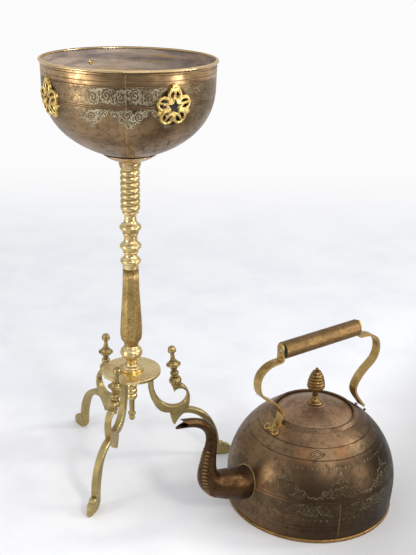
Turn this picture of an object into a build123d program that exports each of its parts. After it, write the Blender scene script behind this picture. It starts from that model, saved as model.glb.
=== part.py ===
from build123d import *
from math import asin, atan2, cos, degrees, pi, radians, sin, sqrt
import os

# Footed brazier bowl on a turned column with three scrolled legs, and its large dome kettle.
# Millimetres, +Z up. The stand's axis is the working axis; the whole group is centred at the end.

# ---- stand: heights, bottom to top
leg_height = 192.0            # floor to the underside of the disc
disc_thick = 6.0
disc_radius = 54.0
foot_turning_height = 50.0
shaft_height = 151.0
knop_turning_height = 93.0
ring_turning_height = 88.0
saucer_seat_height = 23.0     # saucer's joint to the pad that the bowl sits on
ring_count = 7
ring_pitch = 10.3

# ---- stand: radii
neck_radius = 11.6            # waist where the foot turning meets the shaft
foot_flange_radius = 21.8
foot_knop_radius = 20.7
shaft_belly_radius = 20.5
shaft_top_radius = 14.0
shaft_sides = 8
shaft_turn = -64.0            # degrees, azimuth of one long edge
knop_radius = 19.0
knop_joint_radius = 10.9      # waist between knop turning and ring turning
ring_radius = 17.3
ring_groove_radius = 15.0
saucer_radius = 46.0
saucer_lip = 4.0              # rise of the saucer's rim over its pad
pad_radius = 18.0

# ---- stand: rod and its hardware
rod_radius = 4.0
rod_clearance = 0.3
ring_nut_radius = 10.6
ring_nut_length = 55.0
spindle_radius = 5.5
spindle_length = 46.0
spindle_socket = 14.0
bowl_nut_radius = 8.0
bowl_nut_height = 6.5
bowl_washer_radius = 15.0
bowl_washer_thick = 1.6
rod_stub = 2.5

# ---- bowl
bowl_radius = 143.3
bowl_floor_curve = 164.4      # radius of the floor's arc
bowl_side_curve = 105.0       # radius of the arc that turns the floor up into the wall
bowl_wall_height = 44.0       # upright part, up to the rim
bowl_flare = 1.0              # outward lean of the upright part at the rim
bowl_wall = 1.8
rim_bead_radius = 2.6

# ---- rosettes on the bowl
rosette_count = 4
rosette_azimuth = -56.5
rosette_height = 105.0        # centre above the bowl's seat
rosette_thick = 3.6
petal_count = 5
petal_radius = 12.3
petal_hole_radius = 7.7
petal_ring_radius = 18.6
star_radius = 13.4
star_notch_radius = 6.6
strand_width = 3.6
ear_radius = 4.8
ear_ring_radius = 25.6
top_ear_ring_radius = 31.0
vent_radius = 19.5
rivet_radius = 1.5
rivet_head_radius = 2.7
rivet_head_height = 1.2
rivet_clearance = 0.15

# ---- legs
leg_azimuths = {"right": 11.67, "back": 131.67, "front": 251.67}
finial_leans = {"right": (6.5, 0.0), "back": (1.5, 0.0), "front": (3.0, -5.5)}
leg_root_radius = 35.5        # middle of the leg where it meets the disc
leg_root_width = 10.0
leg_thick = 12.5
leg_bevel = 1.7
foot_reach = 196.0            # stand axis to the tip of the toe
foot_height = 26.0
toe_length = 28.0
heel_curve = 18.0             # radius under the ankle
scroll_reach = 110.5          # stand axis to the outside of the scroll
scroll_drop = 33.0            # disc underside to the finial seat
scroll_depth = 91.0           # disc underside to the bottom of the big curl
tenon_radius = 4.0
tenon_length = 4.5
seat_radius = 83.5            # stand axis to the finial
finial_stud_radius = 2.4
finial_stud_length = 6.0
finial_height = 81.5
finial_cup_radius = 12.0
finial_flare_radius = 13.6
finial_ball_radius = 7.4
finial_lobes = 10

# ---- kettle: place and body
kettle_x = 331.4
kettle_y = -92.1
spout_azimuth = 213.2
kettle_foot_radius = 146.0
kettle_radius = 149.7         # widest, at the belly
belly_height = 40.0
shoulder_radius = 133.4
shoulder_height = 115.0
crown_radius = 65.5           # a third point that the dome's arc passes through
crown_height = 176.0
kettle_wall = 1.6
base_height = 6.5
base_lip = 0.8                # how far the base pan stands out past the wall
base_thick = 2.0

# ---- kettle: mouth and lid
mouth_radius = 71.9
ring_outer = 77.7
ring_proud = 1.7
ring_fit = 0.1                # between the ring and the cut edge of the dome
ledge_inner = 62.0
ledge_thick = 1.5
lid_radius = 67.9
lid_gap = 0.8                 # all round, between lid and ring
lid_edge_height = 172.2
lid_edge_depth = 1.8
lid_edge_width = 5.0
lid_thick = 1.6
lid_rise = 16.5               # rise of the lid's middle over its edge
lid_boss_radius = 19.0
lid_boss_rise = 1.8
collar_depth = 9.0
collar_gap = 1.2
collar_wall = 1.2
knob_height = 66.0
knob_radius = 15.7
knob_stem_radius = 5.2
knob_foot_radius = 11.0
knob_ridges = 5
knob_stud_radius = 2.5
knob_stud_clearance = 0.2
lid_nut_radius = 6.0
lid_nut_height = 3.5

# ---- kettle: spout, in the upright plane that holds its middle line
spout_wall = 1.5
spout_root_radius = 29.0
spout_root_height = 73.0
spout_belly_radius = 25.6
spout_knee_reach = 218.5
spout_knee_height = 103.0
spout_knee_radius = 19.6
spout_neck_height = 189.0
spout_neck_radius = 8.8
spout_mouth_reach = 280.0
spout_mouth_height = 227.5
spout_mouth_radius = 7.8
beak_notch = 16.0             # depth of the notch between the two lips, behind the mouth's middle
upper_lip_rise = 38.0         # degrees, the upper lip's cut edge over the level
lower_lip_fall = 10.0         # degrees, the lower lip's cut edge under the level

# ---- kettle: handle, measured from its own middle
handle_offset = -5.5          # its middle from the kettle's axis, towards the spout
handle_tilt = 2.2             # degrees, its spout end down
handle_pivot = 225.0
grip_height = 311.5
grip_radius = 14.7
grip_length = 161.0
grip_wall = 1.3
grip_end_gap = 1.6
grip_bush_length = 8.0
grip_bush_inset = 2.0
grip_running_clearance = 0.05
handle_rod_radius = 5.0
spigot_radius = 3.0
spigot_clearance = 0.1
spigot_head_radius = 4.6
spigot_head_height = 1.4
strap_width = 17.0
strap_thick = 3.8
tab_reach = 13.0              # rod axis to the top of the tab
strap_bend = 4.5
strap_drop = 17.5             # rod axis to where the strap leaves the tab
strap_swell = 134.0           # out to the widest point of the upper bend
strap_waist = 82.0            # in to the narrowest point of the lower bend
foot_reach_on_dome = 101.0
foot_ear_radius = 6.6
foot_ear_spacing = 23.0
foot_lobe_radius = 4.6
foot_pad_thick = 3.0
foot_rivet_radius = 2.0
foot_rivet_head = 3.7

os.makedirs("parts", exist_ok=True)

# ---- heights that follow from the stack
disc_top = leg_height + disc_thick
shaft_base = disc_top + foot_turning_height
knop_base = shaft_base + shaft_height
ring_base = knop_base + knop_turning_height
saucer_base = ring_base + ring_turning_height
bowl_seat = saucer_base + saucer_seat_height
floor_centre = bowl_seat + sqrt(bowl_floor_curve ** 2 - pad_radius ** 2)
side_centre = bowl_radius - bowl_side_curve
bowl_shoulder = floor_centre - sqrt((bowl_floor_curve - bowl_side_curve) ** 2 - side_centre ** 2)
bowl_rim = bowl_shoulder + bowl_wall_height
bowl_floor = floor_centre - sqrt((bowl_floor_curve - bowl_wall) ** 2 - pad_radius ** 2)
column_bore = rod_radius + rod_clearance


# ---------------------------------------------------------------- outline helpers
def outline(start, *moves):
    """Open run in the (radius, height) plane. A move (r, z) is straight; (r, z, bulge) is an arc
    whose middle stands bulge off the chord, positive to the left of the way of travel."""
    edges = []
    here = start
    for move in moves:
        there = (move[0], move[1])
        bulge = move[2] if len(move) == 3 else 0.0
        if bulge:
            dx = there[0] - here[0]
            dz = there[1] - here[1]
            run = sqrt(dx * dx + dz * dz)
            halfway = (here[0] + there[0]) / 2, (here[1] + there[1]) / 2
            middle = halfway[0] - dz / run * bulge, halfway[1] + dx / run * bulge
            edges.append(ThreePointArc(here, middle, there))
        else:
            edges.append(Line(here, there))
        here = there
    return edges


def arc_chain(start, heading, *points):
    """Arcs through the points in turn, each one tangent to the last, the first leaving along heading."""
    arcs = []
    for point in points:
        arcs.append(TangentArc(start, point, tangent=heading))
        start = point
        heading = arcs[-1] % 1
    return arcs


def spun(edges):
    """Solid of revolution about Z from a closed run of edges drawn as (radius, height)."""
    return revolve(Plane.XZ * make_face(edges), Axis.Z)


def turned(bore, base, *moves):
    """Lathe work: the outline runs from the top down, heights count from base, bulges stand outward."""
    points = [(move[0], base + move[1]) + tuple(move[2:]) for move in moves]
    top = points[0][:2]
    foot = points[-1][:2]
    edges = outline((bore, top[1]), top, *points[1:], (bore, foot[1]))
    edges.append(Line((bore, foot[1]), (bore, top[1])))
    return spun(edges)


def rod(radius, low, high):
    return Pos(0, 0, (low + high) / 2) * Cylinder(radius, high - low)


def domed_head(radius, height):
    """Rivet head: a spherical cap standing on z = 0."""
    cap = TangentArc((0, height), (radius, 0), tangent=(1, 0))
    return spun([Line((0, 0), (radius, 0)), cap, Line((0, height), (0, 0))])


# ---------------------------------------------------------------- column
def make_foot_turning():
    h = foot_turning_height
    r = foot_knop_radius
    return turned(
        column_bore, disc_top,
        (neck_radius, h), (neck_radius + 2.6, h - 3.5, -0.4), (neck_radius + 3.2, h - 4.5),
        (r - 0.4, h - 13.5, 1.3), (r - 0.4, h - 16.0, 0.5), (r - 2.6, h - 20.5, 0.6),
        (r - 4.4, h - 21.5), (r - 4.6, h - 23.0), (10.3, 16.5, -2.2), (10.3, 13.5),
        (12.6, 9.0, -0.6), (17.6, 6.2, 1.0), (foot_flange_radius - 0.9, 5.4, -0.4),
        (foot_flange_radius, 4.2, 0.3), (foot_flange_radius, 0.9), (foot_flange_radius - 0.9, 0),
    )


def make_shaft():
    """Turned foot ring, then a tapered eight-sided body that swells towards the bottom."""
    foot = turned(
        column_bore, shaft_base,
        (16.4, 13.0), (16.4, 9.5), (13.9, 6.5, -0.5), (13.4, 5.0), (13.6, 3.4, 0.4), (neck_radius, 0, -0.5),
    )
    levels = [
        (10.5, 17.0), (14.5, 18.8), (22.0, shaft_belly_radius - 0.2), (30.0, shaft_belly_radius),
        (58.0, shaft_belly_radius - 1.5),
        (shaft_height * 0.61, (shaft_belly_radius + shaft_top_radius) / 2 - 0.7),
        (shaft_height * 0.84, shaft_top_radius + 0.6), (shaft_height, shaft_top_radius),
    ]
    spread = 1.04             # corner radius that gives the named mean radius
    rings = []
    for height, radius in levels:
        facets = RegularPolygon(radius * spread, shaft_sides, rotation=shaft_turn)
        rings.append(Pos(0, 0, shaft_base + height) * facets)
    body = loft(rings) - rod(column_bore, shaft_base, shaft_base + shaft_height)
    return foot + body


def make_knop_turning():
    """Three flanged knops, each flaring from a waist above and closed by a small ring below."""
    h = knop_turning_height
    r = knop_radius - 2.2
    edges = [(knop_joint_radius, h)]
    edges += [(r, h - 12.3, -2.0), (r + 0.3, h - 13.0), (r, h - 21.5, 2.4)]
    edges += [(13.6, h - 26.5, 0.3), (13.9, h - 27.5), (13.4, h - 30.0, 0.5)]
    edges += [(12.0, h - 33.5, -0.3), (12.0, h - 37.0)]
    edges += [(r, h - 47.0, -1.7), (r + 0.3, h - 47.6), (r, h - 56.0, 2.4)]
    edges += [(13.2, h - 61.3, 0.3), (13.5, h - 62.2), (13.0, h - 64.4, 0.5), (11.5, h - 66.6, -0.3)]
    edges += [(r - 0.8, h - 74.6, -1.3), (r - 0.5, h - 75.2), (r - 0.8, h - 83.6, 2.4)]
    edges += [(14.6, 6.0, 0.2), (14.6, 0)]
    return turned(column_bore, knop_base, *edges)


def make_ring_turning():
    """A stack of round beads over a short tapered neck."""
    h = ring_turning_height
    edges = [(ring_groove_radius + 0.6, h), (ring_groove_radius, h - 2.0)]
    for i in range(ring_count):
        edges.append((ring_groove_radius, h - 2.0 - (i + 1) * ring_pitch, ring_radius - ring_groove_radius))
    low = h - 2.0 - ring_count * ring_pitch
    edges += [(14.0, low - 1.6), (14.3, low - 2.6), (14.0, low - 5.2, 0.5), (12.2, low - 6.4)]
    edges += [(knop_joint_radius, 0, -0.9)]
    return turned(column_bore, ring_base, *edges)


def make_saucer():
    """Thin dish on a short neck; its middle pad carries the bowl."""
    h = saucer_seat_height
    rim = h + saucer_lip
    return turned(
        column_bore, saucer_base,
        (pad_radius, h), (pad_radius + 0.6, h - 2.2), (saucer_radius - 1.4, rim - 0.3, -1.3),
        (saucer_radius, rim, 0.2), (saucer_radius + 0.2, rim - 1.2, 0.2),
        (21.0, h - 9.0, 1.6), (20.2, h - 10.0, -0.2), (19.0, h - 12.5, 0.2), (17.6, 3.0, 0.4), (16.6, 1.0, 0.3), (16.2, 0),
    )


def make_disc():
    edge = 1.2
    disc = turned(
        column_bore, leg_height,
        (disc_radius - edge, disc_thick), (disc_radius, disc_thick - edge, 0.4), (disc_radius, edge),
        (disc_radius - edge, 0, 0.4),
    )
    for azimuth in leg_azimuths.values():
        hole = rod(tenon_radius, leg_height, leg_height + tenon_length)
        disc -= Rot(0, 0, azimuth) * Pos(leg_root_radius, 0, 0) * hole
    return disc


def make_tie_rod():
    low = leg_height - ring_nut_length - spindle_socket
    high = bowl_floor + bowl_washer_thick + bowl_nut_height + rod_stub
    return rod(rod_radius, low, high)


def make_ring_nut():
    """Long knurled nut under the disc, turned with three heavy rings."""
    rings = 5
    pitch = ring_nut_length / rings
    edges = [(ring_nut_radius - 2.4, ring_nut_length)]
    for i in range(rings):
        edges.append((ring_nut_radius - 2.4, ring_nut_length - (i + 1) * pitch, 2.4))
    return turned(rod_radius, leg_height - ring_nut_length, *edges)


def make_spindle():
    """Pendant drop screwed on the end of the rod: taper, collar and ball."""
    h = spindle_length
    r = spindle_radius
    base = leg_height - ring_nut_length - h
    body = turned(
        0, base,
        (r + 1.2, h), (r + 1.6, h - 2.0, 0.3), (r, h - 4.0, -0.3), (r - 0.8, 18.0),
        (r + 1.4, 16.0, -0.4), (r + 1.4, 12.0, 0.6), (r - 1.6, 10.4, -0.3), (r - 1.6, 9.6), (r - 0.2, 7.6, 0.4), (r - 0.4, 3.6, 0.9), (1.2, 0, 1.2),
    )
    return body - rod(rod_radius, base + h - spindle_socket, base + h)


# ---------------------------------------------------------------- bowl
def bowl_solid(grow=0.0, top=0.0):
    """The bowl's outer form, grown by a thickness all over: a wide floor arc, a tighter shoulder
    arc tangent to it, and an upright wall."""
    floor_curve = bowl_floor_curve + grow
    side_curve = bowl_side_curve + grow
    flat = sqrt(floor_curve ** 2 - pad_radius ** 2)
    turn = atan2(floor_centre - bowl_shoulder, side_centre)
    joint = (side_centre + side_curve * cos(turn), bowl_shoulder - side_curve * sin(turn))
    floor_start = (pad_radius, floor_centre - flat)
    half = (asin(pad_radius / floor_curve) + pi / 2 - turn) / 2
    floor_middle = (floor_curve * sin(half), floor_centre - floor_curve * cos(half))
    side_middle = (side_centre + side_curve * cos(turn / 2), bowl_shoulder - side_curve * sin(turn / 2))
    wall_foot = (side_centre + side_curve, bowl_shoulder)
    wall_top = (wall_foot[0] + bowl_flare, bowl_rim + top)
    edges = [
        Line((0, floor_start[1]), floor_start),
        ThreePointArc(floor_start, floor_middle, joint),
        ThreePointArc(joint, side_middle, wall_foot),
        Line(wall_foot, wall_top),
        Line(wall_top, (0, wall_top[1])),
        Line((0, wall_top[1]), (0, floor_start[1])),
    ]
    return spun(edges)


def bowl_radius_at(height):
    if height >= bowl_shoulder:
        return bowl_radius + bowl_flare * (height - bowl_shoulder) / bowl_wall_height
    return side_centre + sqrt(bowl_side_curve ** 2 - (bowl_shoulder - height) ** 2)


def bowl_normal_tilt(height):
    """Angle of the wall's outward normal above the horizontal, in degrees."""
    if height >= bowl_shoulder:
        return degrees(atan2(-bowl_flare, bowl_wall_height))
    return degrees(asin((height - bowl_shoulder) / bowl_side_curve))


def wall_plane(azimuth, height, lift=0.0):
    """Plane on the bowl's outside, its normal standing off the wall and its y axis up the wall."""
    tilt = radians(bowl_normal_tilt(height))
    turn = radians(azimuth)
    normal = Vector(cos(tilt) * cos(turn), cos(tilt) * sin(turn), sin(tilt))
    radius = bowl_radius_at(height)
    origin = Vector(radius * cos(turn), radius * sin(turn), height) + normal * lift
    return Plane(origin=origin, x_dir=Vector(-sin(turn), cos(turn), 0), z_dir=normal)


def rosette_ears():
    """Places of the three riveted ears in the rosette's own plane."""
    top = (0.0, top_ear_ring_radius)
    side = radians(198)
    low = (ear_ring_radius * cos(side), ear_ring_radius * sin(side))
    return [top, low, (-low[0], low[1])]


def rosette_azimuths():
    return [rosette_azimuth - i * 360 / rosette_count for i in range(rosette_count)]


def rivet_planes(azimuth):
    """Planes square to the wall under each ear of the rosette at this azimuth."""
    centre = bowl_seat + rosette_height
    planes = []
    for x, y in rosette_ears():
        height = centre + y * cos(radians(bowl_normal_tilt(centre)))
        turn = degrees(asin(x / bowl_radius_at(height)))
        planes.append(wall_plane(azimuth + turn, height))
    return planes


def star(radius, notch):
    points = []
    for i in range(2 * petal_count):
        reach = radius if i % 2 == 0 else notch
        angle = radians(90 + i * 180 / petal_count)
        points.append((reach * cos(angle), reach * sin(angle)))
    return make_face(Polyline(*points, close=True))


def make_rosette(azimuth):
    """Cast strapwork: five looped petals round a five-pointed star, bent to the bowl's wall. A strand
    frames the star, and an arm runs on from each of its points over the petal's loop."""
    frame = star(star_radius + 1.6 * strand_width, star_notch_radius + strand_width)
    outer = petal_ring_radius + petal_radius
    petals = Sketch()
    loops = Sketch()
    for i in range(petal_count):
        turn = Rot(0, 0, i * 360 / petal_count)
        petals += turn * Pos(0, petal_ring_radius) * Circle(petal_radius)
        loops += turn * Pos(0, petal_ring_radius) * Circle(petal_hole_radius)
        frame += turn * Pos(0, (star_radius + outer) / 2) * Rectangle(strand_width, outer - star_radius - 2)
    petals += Pos(0, top_ear_ring_radius - 6.5) * Circle(petal_radius - 3.2)
    sheet = petals - loops + frame
    for x, y in rosette_ears():
        sheet += Pos(x, y) * Circle(ear_radius)
    sheet -= star(star_radius, star_notch_radius)
    plane = wall_plane(azimuth, bowl_seat + rosette_height)
    blank = extrude(plane * sheet, amount=4 * rosette_thick, both=True)
    plate = (blank & bowl_solid(rosette_thick)) - bowl_solid()
    for spot in rivet_planes(azimuth):
        plate -= spot * Cylinder(rivet_radius + rivet_clearance, 6 * rosette_thick)
    return plate


def make_bowl():
    bowl = bowl_solid() - bowl_solid(-bowl_wall, rim_bead_radius)
    bead_centre = bowl_radius + bowl_flare - bowl_wall / 2 + rim_bead_radius * 0.45
    bowl += Pos(0, 0, bowl_rim - rim_bead_radius) * Torus(bead_centre, rim_bead_radius)
    bowl -= rod(column_bore, bowl_seat - 1, bowl_seat + 3 * bowl_wall)
    for azimuth in rosette_azimuths():
        bowl -= wall_plane(azimuth, bowl_seat + rosette_height) * Cylinder(vent_radius, 10 * bowl_wall)
        for spot in rivet_planes(azimuth):
            bowl -= spot * Cylinder(rivet_radius + rivet_clearance, 8 * bowl_wall)
    return bowl


def make_rosette_rivets():
    rivets = []
    sag = rivet_head_radius ** 2 / bowl_side_curve    # keeps a flat head clear of the curved wall
    outside = rosette_thick + 0.03
    inside = -bowl_wall - sag
    for azimuth in rosette_azimuths():
        for spot in rivet_planes(azimuth):
            outer = Pos(0, 0, outside) * domed_head(rivet_head_radius, rivet_head_height)
            inner = Pos(0, 0, inside) * Rot(180, 0, 0) * domed_head(rivet_head_radius, rivet_head_height)
            shank = rod(rivet_radius, inside - 0.2, outside + 0.2)
            rivets.append(spot * (shank + outer + inner))
    return rivets


def make_bowl_washer():
    low = bowl_floor
    top = low + bowl_washer_thick
    return rod(bowl_washer_radius, low, top) - rod(column_bore, low, top)


def make_bowl_nut():
    low = bowl_floor + bowl_washer_thick
    nut = extrude(Pos(0, 0, low) * RegularPolygon(bowl_nut_radius, 6), amount=bowl_nut_height)
    dome = turned(
        0, low, (bowl_nut_radius - 1.6, bowl_nut_height), (bowl_nut_radius, bowl_nut_height - 1.4),
        (bowl_nut_radius, 0),
    )
    return (nut & dome) - rod(rod_radius, low, low + bowl_nut_height)


# ---------------------------------------------------------------- legs
def biarc(start, heading, end, last):
    """Two arcs, tangent to each other, that leave start along heading and reach end along last."""
    leaving = Vector(heading[0], heading[1], 0).normalized()
    arriving = Vector(last[0], last[1], 0).normalized()
    way = Vector(end[0] - start[0], end[1] - start[1], 0)
    along = way.dot(leaving + arriving)
    turn = 1 - leaving.dot(arriving)
    reach = (sqrt(along ** 2 + 2 * turn * way.dot(way)) - along) / (2 * turn)
    joint = (Vector(start[0] + end[0], start[1] + end[1], 0) + (leaving - arriving) * reach) / 2
    return arc_chain(start, heading, (joint.X, joint.Y), end)


def leg_outline():
    """Side view of a leg, as (distance from the stand's axis, height): a root under the disc, a big
    C-curl with a pointed tail, a scroll that carries the finial, and the long leg with its foot.
    The scrollwork keeps its shape under the disc, and the leg below it reaches for the floor."""
    top = leg_height
    left = leg_root_radius - leg_root_width / 2
    right = leg_root_radius + leg_root_width / 2
    low = top - scroll_depth
    seat = top - scroll_drop
    out = scroll_reach
    s = scroll_depth / 91          # the scrollwork's own scale
    f = foot_height / 26           # the foot's own scale
    toe = foot_reach
    ankle = (toe - 42.0 * f, heel_curve)
    heel = (toe - 42.0 * f + heel_curve, 0)
    sole = (toe - 7.0 * f, 0)
    ball = (toe - 14.5 * f, 21.0 * f)
    instep = (toe - 20.0 * f, foot_height)
    knuckle = (toe - 26.5 * f, foot_height - 0.4 * f)
    root = top - 25.0 * s
    curl_foot = (out - 38.0 * s, low + 0.5 * s)
    tail_left = (out - 31.7 * s, low - 24.0 * s)
    tail_right = (out - 27.2 * s, low - 24.0 * s)
    under = (out - 8.5 * s, low - 2.7 * s)
    armpit = (out - 3.0 * s, low + 8.0 * s)
    brow = (out, low + 30.0 * s)
    rest = (out - 18.5 * s, seat + 3)
    tip = (out - 30.5 * s, seat - 13.5 * s)
    crook = (out - 6.1 * s, seat - 20.0 * s)
    edges = [Line((left, top), (left, root))]
    edges += arc_chain((left, root), (0, -1), (left + 16.5 * s, top - 78 * s), curl_foot)
    edges += arc_chain(under, (-1, 0), (out - 14.0 * s, low - 5.0 * s), tail_right, tail_left, curl_foot)
    edges += biarc(under, (1, 0), ankle, (0, -1))
    edges += arc_chain(ankle, (0, -1), heel)
    edges.append(Line(heel, sole))
    edges += arc_chain(sole, (1, 0), (toe, 8.5 * f), (toe - 5.5 * f, 18.0 * f), ball)
    edges.append(ThreePointArc(ball, instep, knuckle))
    edges += biarc(armpit, (1, -0.12), knuckle, (0, -1))
    edges += arc_chain(brow, (0, -1), armpit)
    edges += arc_chain(brow, (0, 1), rest)
    edges += [Line(rest, (out - 36.0 * s, seat + 3)), Line((out - 36.0 * s, seat + 3), tip)]
    belly = left + 26.0 * s, low + 25 * s
    shin = out - 29.5 * s, low + 14 * s
    barb = out - 22.5 * s, seat - 7.7 * s
    edges += arc_chain((right, root), (0, -1), belly, shin, crook, barb, tip)
    edges += [Line((right, root), (right, top)), Line((right, top), (left, top))]
    return edges


def seat_place(name):
    """Where the finial stands on its leg: origin on the seat, Z along the leaning finial."""
    inward, sideways = finial_leans[name]
    seat = leg_height - scroll_drop
    return Rot(0, 0, leg_azimuths[name]) * Pos(seat_radius, 0, seat) * Rot(sideways, -inward, 0)


def make_leg(name):
    side = Plane.XZ * make_face(leg_outline())
    leg = extrude(side, amount=leg_thick / 2, both=True)
    faces = leg.faces().sort_by(Axis.Y)
    leg = chamfer(faces[0].edges() + faces[-1].edges(), leg_bevel)
    toe = foot_reach
    half = leg_thick / 2
    plan = make_face([
        Line((0, -half), (toe - toe_length, -half)),
        ThreePointArc((toe - toe_length, -half), (toe - 9.0, -half * 0.72), (toe, -half * 0.3)),
        ThreePointArc((toe, -half * 0.3), (toe + 1.2, 0), (toe, half * 0.3)),
        ThreePointArc((toe, half * 0.3), (toe - 9.0, half * 0.72), (toe - toe_length, half)),
        Line((toe - toe_length, half), (0, half)),
        Line((0, half), (0, -half)),
    ])
    leg &= extrude(plan, amount=leg_height)
    leg += Pos(leg_root_radius, 0, 0) * rod(tenon_radius, leg_height - 2, leg_height + tenon_length)
    leg = Rot(0, 0, leg_azimuths[name]) * leg
    place = seat_place(name)
    leg -= place * Pos(0, 0, 12) * Box(30, 3 * leg_thick, 24)
    leg -= place * rod(finial_stud_radius + rivet_clearance, -finial_stud_length - 0.5, 1)
    return leg


def make_finial(name):
    """Turned finial: collar, lobed cup, bead, dished flare and a ball on a slim stem."""
    h = finial_height
    cup = finial_cup_radius
    flare = finial_flare_radius
    ball = finial_ball_radius
    body = turned(
        0, 0,
        (0.6, h), (ball, h - ball, ball * 0.28), (3.9, h - 2 * ball + 1.2, ball * 0.28),
        (3.7, h - 2 * ball),
        (5.6, h - 30.5, -0.6), (7.6, h - 31.5, 0.3), (8.2, h - 32.5, 0.2), (flare - 1.4, h - 37.4, -1.0),
        (flare - 1.0, h - 37.0), (flare, h - 37.6, 0.2), (flare, h - 39.0, 0.2), (4.3, 31.0, -0.7),
        (4.6, 29.2), (8.0, 25.0, 1.3), (4.6, 21.0, 1.3), (4.5, 19.6), (6.0, 18.0, -0.3),
        (8.6, 17.2), (8.6, 15.8),
        (cup - 1.8, 14.4, 0.4), (cup - 1.8, 4.6), (7.8, 3.6), (8.8, 2.6, 0.3), (9.0, 0),
    )
    lobes = Circle(cup - 3.2)
    for i in range(finial_lobes):
        lobes += Rot(0, 0, i * 360 / finial_lobes) * Pos(cup - 3.4, 0) * Circle(3.4)
    fluted = extrude(Pos(0, 0, 3.8) * lobes, amount=11)
    gadroons = fluted & turned(0, 0, (cup - 3.0, 14.6), (cup - 3.4, 4.0, 3.4))
    waist = turned(0, 0, (cup + 3.0, 14.6), (cup + 3.0, 3.8))
    waist -= turned(0, 0, (cup - 2.8, 14.6), (cup - 2.8, 3.8))
    body = body - waist + gadroons
    return seat_place(name) * (body + rod(finial_stud_radius, -finial_stud_length, 1))


# ---------------------------------------------------------------- kettle
def circle_through(a, b, c):
    """Centre and radius of the circle through three points of the (radius, height) plane."""
    d = 2 * (a[0] * (b[1] - c[1]) + b[0] * (c[1] - a[1]) + c[0] * (a[1] - b[1]))
    sa = a[0] ** 2 + a[1] ** 2
    sb = b[0] ** 2 + b[1] ** 2
    sc = c[0] ** 2 + c[1] ** 2
    x = (sa * (b[1] - c[1]) + sb * (c[1] - a[1]) + sc * (a[1] - b[1])) / d
    y = (sa * (c[0] - b[0]) + sb * (a[0] - c[0]) + sc * (b[0] - a[0])) / d
    return x, y, sqrt((a[0] - x) ** 2 + (a[1] - y) ** 2)


dome_x, dome_z, dome_curve = circle_through(
    (kettle_radius, belly_height), (shoulder_radius, shoulder_height), (crown_radius, crown_height)
)


def dome_height_at(radius, grow=0.0):
    return dome_z + sqrt((dome_curve + grow) ** 2 - (radius - dome_x) ** 2)


def dome_solid(grow=0.0, floor=0.0):
    """The kettle's closed outer form, grown by a thickness, from its floor up."""
    belly = kettle_radius + grow
    foot = kettle_foot_radius + grow
    slope = (kettle_radius - kettle_foot_radius) / belly_height
    start = (foot + slope * floor, floor)
    top = (0.0, dome_height_at(0, grow))
    belly_z = dome_z + sqrt((dome_curve + grow) ** 2 - (belly - dome_x) ** 2)
    if belly_height < dome_z:
        belly_z = dome_z - sqrt((dome_curve + grow) ** 2 - (belly - dome_x) ** 2)
    reach = (dome_curve + grow) * cos(pi / 4)
    edges = outline(start, (belly, belly_z, -0.7))
    edges += [ThreePointArc((belly, belly_z), (dome_x + reach, dome_z + reach), top)]
    edges += [Line(top, (0, floor)), Line((0, floor), start)]
    return spun(edges)


def kettle_place():
    return Pos(kettle_x, kettle_y, 0) * Rot(0, 0, spout_azimuth)


def make_kettle_body():
    """Spun dome, open at the bottom for the base pan, with the lid's mouth and the spout's hole."""
    body = dome_solid(0, base_thick) - dome_solid(-kettle_wall, -1)
    body -= rod(mouth_radius, dome_height_at(mouth_radius) - 4 * kettle_wall, 2 * grip_height)
    body -= spout_form(spout_wall)
    for plane in foot_rivet_planes():
        body -= plane * Cylinder(foot_rivet_radius + rivet_clearance, 8 * kettle_wall)
    return kettle_place() * body


def make_kettle_base():
    """Shallow pan soldered over the bottom of the dome."""
    top = kettle_foot_radius + base_lip
    wall = [(top + 0.2, base_height), (top + 1.6, base_height - 1.4, 0.4), (top + 1.6, 1.6), (top, 0, 0.5)]
    pan = turned(0, 0, *wall)
    return kettle_place() * (pan - dome_solid(0, base_thick))


def make_lid_ring():
    """Raised ring round the mouth, its ledge stepping down inside to carry the lid."""
    ledge = lid_edge_height - lid_edge_depth
    inside = lid_radius + lid_gap
    low = ledge - ledge_thick
    crest = dome_height_at(inside) + ring_proud
    neck = mouth_radius - ring_fit
    edge = dome_height_at(ring_outer)
    blank = spun([
        Line((ledge_inner, low), (neck, low)),
        Line((neck, low), (neck, edge - 3.0)),
        Line((neck, edge - 3.0), (ring_outer, edge - 3.0)),
        Line((ring_outer, edge - 3.0), (ring_outer, edge + 0.6)),
        ThreePointArc(
            (ring_outer, edge + 0.6), (ring_outer - 1.8, edge + 2.3), (inside + 4.0, crest - 0.3),
        ),
        ThreePointArc((inside + 4.0, crest - 0.3), (inside + 1.5, crest), (inside, crest - 0.7)),
        Line((inside, crest - 0.7), (inside, ledge)),
        Line((inside, ledge), (ledge_inner, ledge)),
        Line((ledge_inner, ledge), (ledge_inner, low)),
    ])
    wall = dome_solid() - rod(neck, 0, 2 * grip_height)
    return kettle_place() * (blank - wall)


lid_curve = (lid_radius ** 2 + lid_rise ** 2) / (2 * lid_rise)
lid_centre = lid_edge_height + lid_rise - lid_curve
lid_top = lid_edge_height + lid_rise + lid_boss_rise


def lid_cap(grow=0.0):
    """Everything under the lid's spherical crown, grown by a thickness."""
    return Pos(0, 0, lid_centre) * Sphere(lid_curve + grow)


def make_lid():
    low = lid_edge_height - lid_edge_depth
    slab = rod(lid_radius, low, lid_top)
    lid = (slab & lid_cap()) - (rod(lid_radius - lid_edge_width, 0, lid_top) & lid_cap(-lid_thick))
    shoulder = lid_top - lid_boss_rise
    boss = turned(
        0, 0, (knob_foot_radius, lid_top), (lid_boss_radius - 1.0, shoulder - 0.6, -0.5),
        (lid_boss_radius, shoulder - 1.6, 0.2), (lid_boss_radius, shoulder - 3),
    )
    lid += boss - lid_cap(-lid_thick)
    lid -= rod(knob_stud_radius + knob_stud_clearance, low, lid_top + 1)
    return kettle_place() * lid


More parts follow.
